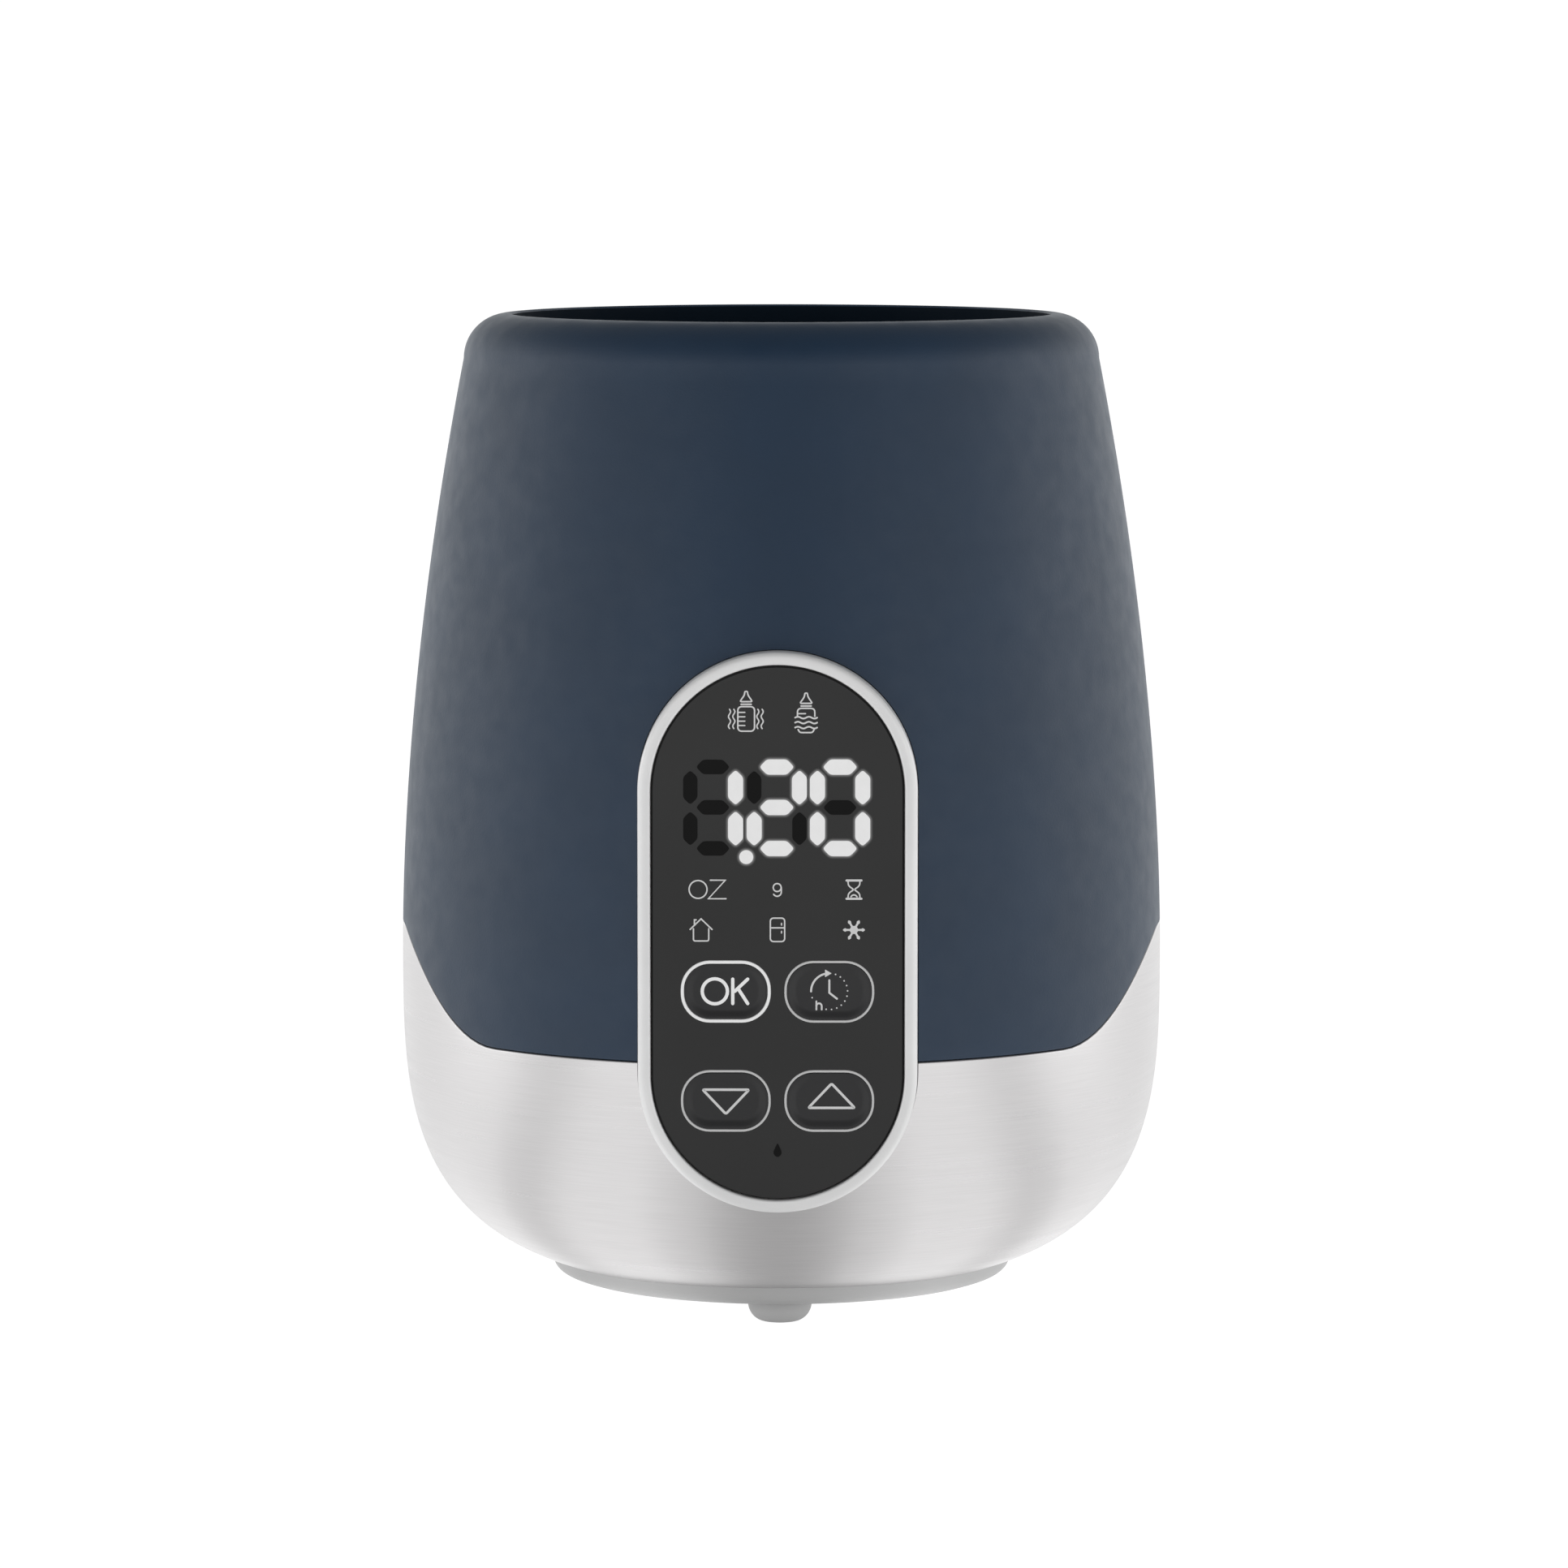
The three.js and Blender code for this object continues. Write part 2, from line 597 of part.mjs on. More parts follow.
// An L-shaped ring that presses the plate's rim and its seal up against the chamber.
function heaterClamp() {
  const top = CHAMBER_BOTTOM_Z - GAP;
  const ledge = { inside: 38, outside: 42.3, top: 45.2 };
  const ring = turned([
    [ledge.inside, CLAMP_BOTTOM_Z],
    [CHAMBER_FLANGE, CLAMP_BOTTOM_Z],
    [CHAMBER_FLANGE, top],
    [ledge.outside, top],
    [ledge.outside, ledge.top],
    [ledge.inside, ledge.top],
  ]);
  const holes = THIRDS.map((degrees) => {
    const [x, y] = onCircle(CLAMP_SCREW_CIRCLE, degrees);
    return post(CLAMP_HOLE, x, y, CLAMP_BOTTOM_Z - PAST, top + PAST);
  });
  return cut(ring, ...holes);
}

// Nearly a full ring under the plate, with its two ends turned down at the back.
function heatingElement() {
  const z = PLATE_TOP_Z - PLATE_SHEET - GAP - ELEMENT_RADIUS;
  const gapAngle = THREE.MathUtils.degToRad(12); // half of the gap between the two ends
  const legAngle = 14;
  const legRadius = 2.2;
  class Loop extends THREE.Curve {
    getPoint(t) {
      const angle = Math.PI / 2 + gapAngle + t * (2 * Math.PI - 2 * gapAngle);
      return new THREE.Vector3(Math.cos(angle), Math.sin(angle), 0)
        .multiplyScalar(ELEMENT_CIRCLE)
        .setZ(z);
    }
  }
  const legs = [-1, 1].map((side) => {
    const [x, y] = onCircle(ELEMENT_CIRCLE, 90 + side * legAngle);
    return post(legRadius, x, y, ELEMENT_LEG_Z, z);
  });
  return joined(tube(new Loop(), ELEMENT_RADIUS, 8, 34), ...legs);
}

// A button thermostat with two flat terminals, under the middle of the plate.
function thermostat(top) {
  const can = { radius: 7.5, bottom: 40.5 };
  const rim = { radius: 9, bottom: 47.3 };
  const button = turned([
    [0, can.bottom],
    [can.radius, can.bottom],
    [can.radius, rim.bottom],
    [rim.radius, rim.bottom],
    [rim.radius, top],
    [0, top],
  ], FOOT_ROUND);
  const terminals = [-4, 4].map((y) => block(6.3, 0.8, 5, 0, y, can.bottom - 4.5));
  return joined(button, ...terminals);
}

function makeHeater() {
  const group = new THREE.Group();
  const underPlate = PLATE_TOP_Z - PLATE_SHEET - GAP;
  addPart(group, "water_chamber", waterChamber(), "chamberPlastic");
  const sealTop = HEIGHT - LIP_THICKNESS - GAP;
  const rimSeal = turnedRing(42.7, 45, CHAMBER_TOP_Z + GAP, sealTop);
  addPart(group, "rim_seal", rimSeal, "sealRubber");
  addPart(group, "heater_plate", heaterPlate(), "plateSteel");
  addPart(group, "heater_seal", turnedRing(37, 42, 47.3, CHAMBER_BOTTOM_Z - GAP), "sealRubber");
  addPart(group, "heating_element", heatingElement(), "castAluminium");
  addPart(group, "heater_clamp", heaterClamp(), "castAluminium");
  THIRDS.forEach((degrees, i) => {
    const place = [...onCircle(CLAMP_SCREW_CIRCLE, degrees), CLAMP_BOTTOM_Z - GAP];
    addPart(group, "clamp_screw_" + (i + 1), screw(2.2, 1.2, 1.2, 9), "screwSteel", place);
  });
  addPart(group, "thermostat", thermostat(underPlate), "blackPlastic");
  addPart(group, "temperature_sensor", post(3, SENSOR_X, 0, 43, underPlate), "plateSteel");
  const fuse = { radius: 1.6, length: 11, leadRadius: 0.5, leadLength: 20, y: -15.5 };
  const fuseBody = new THREE.CylinderGeometry(fuse.radius, fuse.radius, fuse.length, SMALL_ROUND);
  const fuseLeads = new THREE.CylinderGeometry(fuse.leadRadius, fuse.leadRadius, fuse.leadLength, SMALL_ROUND);
  const thermalFuse = joined(fuseBody, fuseLeads).rotateZ(Math.PI / 2);
  addPart(group, "thermal_fuse", thermalFuse, "whitePlastic", [0, fuse.y, underPlate - fuse.radius]);
  return group;
}

// ---- Power board ----

function glassFuse() {
  const glass = new THREE.CylinderGeometry(2.2, 2.2, 20, SMALL_ROUND);
  const caps = [-1, 1].map((end) => {
    return new THREE.CylinderGeometry(2.6, 2.6, 5, SMALL_ROUND).translate(0, end * 7.5, 0);
  });
  return joined(glass, ...caps).rotateZ(Math.PI / 2);
}

function makePowerBoard() {
  const group = new THREE.Group();
  const onBoard = BOARD.thickness + GAP;
  group.position.z = BOARD.z;
  const holes = [];
  for (const x of [-BOARD_SCREW_X, BOARD_SCREW_X]) {
    for (const y of [-BOARD_SCREW_Y, BOARD_SCREW_Y]) holes.push(roundHole(BOARD_HOLE, x, y));
  }
  const outline = withHoles(roundedOutline(BOARD.width, BOARD.depth, 2), ...holes);
  addPart(group, "power_board", levelPlate(outline, 0, BOARD.thickness), "boardGreen");
  [[-1, 1], [1, -1]].forEach(([right, back], i) => {
    const place = [right * BOARD_SCREW_X, back * BOARD_SCREW_Y, onBoard];
    const fixing = screw(2.2, 1.2, 1, 4.6);
    addPart(group, "power_board_screw_" + (i + 1), fixing, "screwSteel", place, [Math.PI, 0, 0]);
  });
  const [transformerX, transformerY] = [-13.5, -8];
  const core = block(17, 8, 14, transformerX, transformerY, onBoard);
  const winding = block(12, 15, 11, transformerX, transformerY, onBoard + 1.5);
  addPart(group, "power_transformer", joined(core, winding), "copperWinding");
  addPart(group, "relay", block(18, 15, 15, 12.5, -10, onBoard), "blackPlastic");
  const can = [[0, 0], [5, 0], [5, 2], [4.6, 2.6], [5, 3.2], [5, 16], [0, 16]];
  addPart(group, "filter_capacitor", turned(can, SMALL_ROUND), "blackPlastic", [-18, 11, onBoard]);
  addPart(group, "mains_capacitor", block(13, 7, 12, 16, 11, onBoard), "redWire");
  const { width, depth, height, y, pitch } = TERMINALS;
  const slotDepth = 1.4;
  const slots = [-pitch / 2, pitch / 2].map((x) => {
    return post(1.6, x, y, onBoard + height - slotDepth, onBoard + height + PAST);
  });
  addPart(group, "terminal_block", cut(block(width, depth, height, 0, y, onBoard), ...slots), "whitePlastic");
  addPart(group, "glass_fuse", glassFuse(), "fuseGlass", [0, 4, onBoard + 2.6]);
  return group;
}

// ---- Wiring that is clipped inside the body ----

function makeWiring() {
  const group = new THREE.Group();
  const blockTop = BOARD.z + BOARD.thickness + GAP + TERMINALS.height;
  const slotX = TERMINALS.pitch / 2;
  const [legX, legY] = onCircle(ELEMENT_CIRCLE, 76);
  for (const [name, side, finish] of [["live", 1, "redWire"], ["neutral", -1, "blueWire"]]) {
    const route = [
      [side * legX, legY, ELEMENT_LEG_Z - GAP],
      [side * legX, legY, ELEMENT_LEG_Z - 3],
      [side * (slotX + 1), TERMINALS.y + 6, blockTop + 3.6],
      [side * slotX, TERMINALS.y + 0.8, blockTop + 3],
      [side * slotX, TERMINALS.y, blockTop + GAP],
    ];
    addPart(group, "heater_lead_" + name, wire(route, 1), finish);
  }
  const boardBack = -BODY_RADIUS + CONTROL_BOARD_Y + CONTROL_BOARD_THICKNESS + GAP;
  const sensorRoute = [
    [SENSOR_X, 0, 42.7],
    [SENSOR_X, -2, 39],
    [13.5, -20, 36.6],
    [11, -38, 35.6],
    [10, -44.5, 34.2],
    [10, boardBack, 34],
  ];
  addPart(group, "sensor_lead", wire(sensorRoute, 0.8), "blackPlastic");
  addPart(group, "ribbon_cable", ribbon(boardBack), "whitePlastic");
  return group;
}

// A flat cable from the power board's front edge up to the back of the control board.
function ribbon(boardBack) {
  const width = 9;
  const thickness = 0.8;
  const middle = new THREE.CubicBezierCurve(
    new THREE.Vector2(-18.5, BOARD.z + BOARD.thickness + GAP),
    new THREE.Vector2(-18.5, 31),
    new THREE.Vector2(-38, 29),
    new THREE.Vector2(boardBack, 29),
  );
  const left = [];
  const right = [];
  for (let i = 0; i <= 10; i++) {
    const point = middle.getPoint(i / 10);
    const tangent = middle.getTangent(i / 10);
    const side = new THREE.Vector2(-tangent.y, tangent.x).multiplyScalar(thickness / 2);
    left.push(point.clone().add(side));
    right.unshift(point.clone().sub(side));
  }
  const strip = new THREE.Shape([...left, ...right]);
  const solid = new THREE.ExtrudeGeometry(strip, { depth: width, bevelEnabled: false });
  return solid.rotateX(Math.PI / 2).rotateZ(Math.PI / 2).translate(-14, 0, 0);
}

// ---- Control panel, measured back from its front face ----

const BEZEL_BOSSES = [[-16.6, -16.8], [16.6, -16.8], [-12.2, 31.9], [12.2, 31.9]];

function bezel() {
  const ledgeFront = FASCIA_SET_BACK + FASCIA_THICKNESS + GAP;
  const ledgeBack = ledgeFront + 1.2;
  const ring = (inset, wall, front, back) => {
    return frontPlate(withHoles(panelOutline(inset), panelOutline(wall, THREE.Path)), front, back, 3);
  };
  const bossBack = CONTROL_BOARD_Y - GAP;
  const bosses = BEZEL_BOSSES.map(([x, z]) => frontPost(2.3, x, z, ledgeBack - 0.2, bossBack));
  const holes = BEZEL_BOSSES.map(([x, z]) => frontPost(1.3, x, z, 4.5, bossBack + 1, SCREW_ROUND));
  const whole = joined(
    ring(0, BEZEL_WALL, 0, BEZEL_DEPTH + 0.5),
    ring(0.2, BEZEL_WALL + LEDGE_WIDTH, ledgeFront, ledgeBack),
    ring(-2.5, BEZEL_WALL, BEZEL_DEPTH, BEZEL_DEPTH + 1.4),
    ...bosses,
  );
  return cut(whole, ...holes);
}

function keyOutline(grow, name, Outline = THREE.Shape) {
  const [x, z] = KEY_PLACES[name];
  const { width, height, radius } = KEY_RING;
  return roundedOutline(width + 2 * grow, height + 2 * grow, radius + grow, x, z, Outline);
}

function fascia() {
  const holes = Object.keys(KEY_PLACES).map((name) => keyOutline(GAP, name, THREE.Path));
  const outline = withHoles(panelOutline(BEZEL_WALL + GAP), ...holes);
  return frontPlate(outline, FASCIA_SET_BACK, FASCIA_SET_BACK + FASCIA_THICKNESS, 2);
}

// A clear plate behind the fascia, with a thin ring that stands through it round each key.
function lightGuide() {
  const front = FASCIA_SET_BACK + FASCIA_THICKNESS + GAP;
  const back = front + 1;
  const names = Object.keys(KEY_PLACES);
  const middle = (KEY_PLACES.ok[1] + KEY_PLACES.down[1]) / 2;
  const holes = names.map((name) => keyOutline(-KEY_RING.line, name, THREE.Path));
  const plate = frontPlate(withHoles(roundedOutline(31, 29, 3, 0, middle), ...holes), front, back, 2);
  const rings = names.map((name) => {
    const outline = withHoles(keyOutline(0, name), keyOutline(-KEY_RING.line, name, THREE.Path));
    return frontPlate(outline, FASCIA_SET_BACK, back, 2);
  });
  const clearances = BEZEL_BOSSES.map(([x, z]) => frontPost(2.3 + GAP, x, z, front - 1, back + 1));
  return cut(joined(plate, ...rings), ...clearances);
}

function key() {
  const { width, height, radius, line } = KEY_RING;
  const play = 2 * (line + GAP);
  const flangeFront = FASCIA_SET_BACK + FASCIA_THICKNESS + 1 + 2 * GAP;
  const cap = roundedOutline(width - play, height - play, radius - play / 2);
  const flange = roundedOutline(width + 1, height + 1, radius + 0.5);
  return joined(
    frontPlate(cap, FASCIA_SET_BACK, flangeFront + 0.2, 2),
    frontPlate(flange, flangeFront, flangeFront + 0.8, 2),
    frontPost(1.6, 0, 0, flangeFront + 0.5, KEY_STEM_END),
  );
}

function tactSwitch() {
  const body = new THREE.BoxGeometry(6, 2.7, 6).translate(0, CONTROL_BOARD_Y - GAP - 1.35, 0);
  return joined(body, frontPost(1.7, 0, 0, SWITCH_TIP, 8));
}

function makePanel() {
  const group = new THREE.Group();
  group.position.set(0, -BODY_RADIUS, PANEL_Z);
  addPart(group, "panel_bezel", bezel(), "satinSilver");
  addPart(group, "panel_fascia", fascia(), "fasciaPlastic");
  addPart(group, "light_guide", lightGuide(), "lightGuide");
  for (const [name, [x, z]] of Object.entries(KEY_PLACES)) {
    addPart(group, "key_" + name, key(), "keyPlastic", [x, 0, z]);
    addPart(group, "switch_" + name, tactSwitch(), "blackPlastic", [x, 0, z]);
  }
  const displayFront = FASCIA_SET_BACK + FASCIA_THICKNESS + GAP;
  const displayDepth = CONTROL_BOARD_Y - GAP - displayFront;
  const display = new THREE.BoxGeometry(30, displayDepth, 17);
  const displayPlace = [0, displayFront + displayDepth / 2, 84 - PANEL_Z];
  addPart(group, "display_module", display, "blackPlastic", displayPlace);
  const boardHoles = BEZEL_BOSSES.map(([x, z]) => roundHole(1.3, x, z));
  const boardOutline = withHoles(panelOutline(3.1), ...boardHoles);
  const boardBack = CONTROL_BOARD_Y + CONTROL_BOARD_THICKNESS;
  addPart(group, "control_board", frontPlate(boardOutline, CONTROL_BOARD_Y, boardBack, 3), "boardGreen");
  BEZEL_BOSSES.forEach(([x, z], i) => {
    const place = [x, boardBack + GAP, z];
    const fixing = screw(2.1, 1.2, 1, 6.5);
    addPart(group, "control_board_screw_" + (i + 1), fixing, "screwSteel", place, [Math.PI / 2, 0, 0]);
  });
  return group;
}

// ---- Basket ----

function sectorOutline(inner, outer, middleDegrees, widthDegrees) {
  const from = THREE.MathUtils.degToRad(middleDegrees - widthDegrees / 2);
  const to = THREE.MathUtils.degToRad(middleDegrees + widthDegrees / 2);
  const outline = new THREE.Shape();
  outline.absarc(0, 0, outer, from, to);
  outline.absarc(0, 0, inner, to, from, true);
  return outline;
}

// It keeps a bottle off the hot plate and lifts out by the two tabs on its top ring.
function basket() {
  const outside = BASKET_INSIDE + BASKET_WALL;
  const sector = outside - 0.05; // keeps the sectors just inside the ring's face
  const floorTop = BASKET_FLOOR_Z + BASKET_WALL;
  const disc = turned([[0, BASKET_FLOOR_Z], [outside, BASKET_FLOOR_Z], [outside, floorTop], [0, floorTop]]);
  const drain = { middle: 5, around: 4.5, circle: 20, count: 6 };
  const drains = [post(drain.middle, 0, 0, BASKET_FLOOR_Z - PAST, floorTop + PAST)];
  for (let i = 0; i < drain.count; i++) {
    const [x, y] = onCircle(drain.circle, (360 * i) / drain.count);
    drains.push(post(drain.around, x, y, BASKET_FLOOR_Z - PAST, floorTop + PAST));
  }
  const pieces = [
    cut(disc, ...drains),
    turnedRing(BASKET_INSIDE, outside, BASKET_TOP_Z - BASKET_RING_HEIGHT, BASKET_TOP_Z),
  ];
  const upright = { degrees: 26, steps: 3 };
  const foot = { radius: 2, circle: 30 };
  for (const degrees of THIRDS) {
    const outline = sectorOutline(BASKET_INSIDE, sector, degrees, upright.degrees);
    pieces.push(levelPlate(outline, floorTop - PAST, BASKET_TOP_Z - PAST, upright.steps));
    const [x, y] = onCircle(foot.circle, degrees + 30);
    pieces.push(post(foot.radius, x, y, PLATE_TOP_Z + GAP, BASKET_FLOOR_Z + 0.5));
  }
  const tab = { degrees: 30, steps: 2 };
  for (const degrees of [0, 180]) {
    const outline = sectorOutline(BASKET_INSIDE, sector, degrees, tab.degrees);
    pieces.push(levelPlate(outline, BASKET_TOP_Z - PAST, BASKET_TOP_Z + BASKET_TAB_HEIGHT, tab.steps));
  }
  return joined(...pieces);
}

function makeBasket() {
  const group = new THREE.Group();
  addPart(group, "bottle_basket", basket(), "whitePlastic");
  return group;
}

// ---- The whole warmer ----

const warmer = new THREE.Group();
warmer.add(makeCasing(), makeGland(), makeHeater(), makePowerBoard());
warmer.add(makeWiring(), makePanel(), makeBasket());

export default warmer;
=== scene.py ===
"""The looks of a warmer for baby bottles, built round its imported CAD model.

Lengths here are millimetres in the CAD frame (+Z up, the control panel faces -Y), and MM turns
them into Blender's metres. Places come from the CAD nodes' boxes where a node has them.
"""
import json
import math

import bmesh
import bpy
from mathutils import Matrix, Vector
from mathutils.geometry import tessellate_polygon


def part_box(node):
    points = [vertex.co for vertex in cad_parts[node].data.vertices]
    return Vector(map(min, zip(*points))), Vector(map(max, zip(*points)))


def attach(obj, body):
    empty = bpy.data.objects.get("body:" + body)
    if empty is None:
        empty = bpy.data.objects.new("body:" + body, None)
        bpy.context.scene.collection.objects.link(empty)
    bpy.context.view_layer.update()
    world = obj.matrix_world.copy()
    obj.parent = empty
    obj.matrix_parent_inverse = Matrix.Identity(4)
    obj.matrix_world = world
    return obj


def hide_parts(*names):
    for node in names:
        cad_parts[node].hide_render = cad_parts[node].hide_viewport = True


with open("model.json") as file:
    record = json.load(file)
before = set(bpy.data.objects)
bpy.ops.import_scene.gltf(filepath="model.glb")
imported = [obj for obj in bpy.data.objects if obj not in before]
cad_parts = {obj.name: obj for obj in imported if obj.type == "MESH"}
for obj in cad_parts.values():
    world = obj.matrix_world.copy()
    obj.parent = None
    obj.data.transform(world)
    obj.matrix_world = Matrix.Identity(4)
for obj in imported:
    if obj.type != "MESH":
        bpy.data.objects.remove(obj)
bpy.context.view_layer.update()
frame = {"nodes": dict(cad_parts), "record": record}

MM = 0.001
TURN = 2 * math.pi


def box_mm(node):
    """Lowest and highest corners of a CAD node, in millimetres."""
    low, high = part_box(node)
    return low / MM, high / MM


def middle_of(node):
    low, high = box_mm(node)
    return (low + high) / 2


# ---- Driving dimensions ----

FRONT_Y = box_mm("panel_bezel")[0].y  # front face of the control panel
PANEL_Z = middle_of("panel_fascia").z
BEZEL_WIDTH = 42.2
BEZEL_HEIGHT = 85.0
BEZEL_WALL = 2.0
LEDGE_WIDTH = 1.5
BEZEL_DEPTH = 9.6
FASCIA_Y = box_mm("panel_fascia")[0].y
FASCIA_THICKNESS = 1.4
FASCIA_GAP = 0.32

HEIGHT = box_mm("upper_shell")[1].z
BODY_RADIUS = -FRONT_Y
WIDEST_Z = 56.0
SHOULDER_ARC = 7.0
SHOULDER_Z = HEIGHT - SHOULDER_ARC
TAPER_DROP = 10.0
TAPER_POWER = 1.82
BOWL_DEPTH = 52.5
BOWL_POWER = 3.3
MOUTH_RADIUS = 42.4
LIP_THICKNESS = 3.0
SHELL_WALL = 2.4
SKIRT_WALL = 1.2
SKIRT_Z = box_mm("upper_shell")[0].z
SPLIT_LOW_Z = 44.8
SPLIT_RISE = 15.4
SPLIT_START = math.radians(47)
SPLIT_END = math.radians(82.5)
SEAM_GAP = 0.12
CUP_WALL = 0.9
CUP_FOOT_Z = box_mm("steel_cup")[0].z

KEY_RING_WIDTH = 13.55
KEY_RING_HEIGHT = 9.4
KEY_RING_RADIUS = 4.4
KEYS = ("ok", "timer", "down", "up")
KEY_TRAVEL_ROOM = 0.05  # play between a key, its ring and the fascia
DISH_DEPTH = 0.5
DISH_RIM = 1.5

BODY_SIDES = 192
TURNED_SIDES = 96
ROD_SIDES = 48

FILLET_SHARE = 0.49  # the most that a fillet takes of the side it lies on
MITRE_LIMIT = 0.5
ROUND_END = (30, 60, 85)  # degrees at which the round end of a line has its points
WELD_DISTANCE = 0.0005
SHORTEST_EDGE = 0.0001
SHARP_ANGLE = math.radians(32)
NOISE_LOW, NOISE_HIGH = 0.3, 0.7  # nearly all values of a noise texture lie between these


# ---- Outlines in a plane ----


def smoothstep(value, start, end):
    t = min(max((value - start) / (end - start), 0), 1)
    return t * t * (3 - 2 * t)


def spread(low, high, steps):
    """Evenly spaced values from low to high, both included."""
    return [low + (high - low) * i / steps for i in range(steps + 1)]


def arc(x, z, radius, start, end, steps=12):
    """Points of a round arc, its angles in degrees."""
    angles = spread(math.radians(start), math.radians(end), steps)
    return [(x + radius * math.cos(a), z + radius * math.sin(a)) for a in angles]


def circle(x, z, radius, steps=32):
    return arc(x, z, radius, 0, 360 - 360 / steps, steps - 1)


def filleted(corners, closed=True, steps=4):
    """A polyline of (a, b, fillet) corners with each one rounded off over its fillet length."""
    points = []
    count = len(corners)
    for i, (a, b, fillet) in enumerate(corners):
        here = Vector((a, b))
        inner = closed or 0 < i < count - 1
        if not fillet or not inner:
            points.append((a, b))
            continue
        before = Vector(corners[i - 1][:2]) - here
        after = Vector(corners[(i + 1) % count][:2]) - here
        start = here + before.normalized() * min(fillet, before.length * FILLET_SHARE)
        end = here + after.normalized() * min(fillet, after.length * FILLET_SHARE)
        for t in spread(0, 1, steps):
            points.append(tuple((1 - t) ** 2 * start + 2 * t * (1 - t) * here + t * t * end))
    return points


def rounded_rectangle(width, height, radius, x=0, z=0, steps=8):
    """Four quarter arcs, anticlockwise from the right, always with the same number of points."""
    points = []
    for quarter, (right, up) in enumerate([(1, 1), (-1, 1), (-1, -1), (1, -1)]):
        centre_x = x + right * (width / 2 - radius)
        centre_z = z + up * (height / 2 - radius)
        points += arc(centre_x, centre_z, radius, 90 * quarter, 90 * quarter + 90, steps)
    return points


def stadium(inset, steps=32):
    """The panel's outline, narrower by inset on every side."""
    width = BEZEL_WIDTH - 2 * inset
    return rounded_rectangle(width, BEZEL_HEIGHT - 2 * inset, width / 2, 0, PANEL_Z, steps)


def stroke(points, width, closed=False):
    """The two rails of a line of some width along points, with round ends where it is open."""
    half = width / 2
    path = [Vector(p) for p in points]
    count = len(path)
    left, right = [], []
    for i, here in enumerate(path):
        before = path[i - 1] if closed or i else None
        after = path[(i + 1) % count] if closed or i < count - 1 else None
        arriving = (here - before).normalized() if before else (after - here).normalized()
        leaving = (after - here).normalized() if after else arriving
        across = Vector((-arriving.y - leaving.y, arriving.x + leaving.x)).normalized()
        reach = half / max(across.dot(Vector((-leaving.y, leaving.x))), MITRE_LIMIT)
        left.append(tuple(here + across * reach))
        right.append(tuple(here - across * reach))
    if closed:
        return (left, right), True
    for end, beside, front in ((path[0], path[1], True), (path[-1], path[-2], False)):
        out = (end - beside).normalized()
        across = Vector((out.y, -out.x)) if front else Vector((-out.y, out.x))
        for degrees in ROUND_END:
            angle = math.radians(degrees)
            place = end + out * half * math.sin(angle)
            side = across * half * math.cos(angle)
            where = 0 if front else len(left)
            left.insert(where, tuple(place + side))
            right.insert(where, tuple(place - side))
    return (left, right), False


def filled(loop):
    """A solid mark with an even number of points, as the rails up its two sides."""
    half = len(loop) // 2
    return (list(reversed(loop[half:])), loop[:half]), False


def dot(x, z, radius, steps=32):
    return filled(circle(x, z, radius, steps))


def edges(rails, closed):
    """The closed outlines of a band, with its outside on their right."""
    left, right = rails
    if closed:
        return [list(reversed(left)), list(right)]
    return [list(right) + list(reversed(left))]


def area(loop):
    """Signed area of an outline: positive when it runs anticlockwise."""
    pairs = zip(loop, loop[1:] + loop[:1])
    return sum(x0 * z1 - x1 * z0 for (x0, z0), (x1, z1) in pairs) / 2


def facing(loop, sign):
    return loop if area(loop) * sign > 0 else list(reversed(loop))


def at_depth(outline, y):
    """An upright (x, z) outline as points at depth y."""
    return [(x, y, z) for x, z in outline]


# ---- Solids ----


class Solid:
    """Collects the vertices and faces of one mesh, in millimetres."""

    def __init__(self):
        self.points = []
        self.faces = []

    def add(self, points, faces):
        first = len(self.points)
        self.points += points
        self.faces += [tuple(first + i for i in face) for face in faces]
        return self

    def loft(self, rings):
        """Closed skin through rings of equally many points, with flat ends."""
        count = len(rings[0])
        faces = [tuple(range(count)), tuple(range((len(rings) - 1) * count, len(rings) * count))]
        faces += grid_faces(len(rings), count, wrap=False)
        return self.add([p for ring in rings for p in ring], faces)

    def ring_loft(self, rings):
        """Closed skin through rings, with the last ring joined to the first."""
        faces = grid_faces(len(rings), len(rings[0]), wrap=True)
        return self.add([p for ring in rings for p in ring], faces)

    def ribbon(self, rails, closed, depth, thickness):
        """A raised band between two rails of equally many points."""
        rings = []
        for left, right in zip(*rails):
            front = [(x, depth(x, z), z) for x, z in (left, right)]
            back = [(x, y + thickness, z) for x, y, z in reversed(front)]
            rings.append(front + back)
        return self.ring_loft(rings) if closed else self.loft(rings)

    def plate(self, loops, front, thickness):
        """A flat upright plate. The largest loop is its outline, the others are holes in it."""
        outline, *holes = sorted(loops, key=lambda loop: -abs(area(loop)))
        loops = [facing(outline, 1), *[facing(hole, -1) for hole in holes]]
        flat = [[Vector((x, z, 0)) for x, z in loop] for loop in loops]
        triangles = tessellate_polygon(flat)
        corners = [p for loop in loops for p in loop]
        count = len(corners)
        faces = [tuple(t) for t in triangles]
        faces += [tuple(count + i for i in t) for t in triangles]
        first = 0
        for loop in loops:
            size = len(loop)
            for i in range(size):
                a, b = first + i, first + (i + 1) % size
                faces.append((a, b, count + b, count + a))
            first += size
        return self.add(at_depth(corners, front) + at_depth(corners, front + thickness), faces)


def grid_faces(rows, columns, wrap):
    faces = []
    for i in range(rows if wrap else rows - 1):
        for j in range(columns):
            a, b = i * columns + j, i * columns + (j + 1) % columns
            shift = ((i + 1) % rows - i) * columns
            faces.append((a, b, b + shift, a + shift))
    return faces


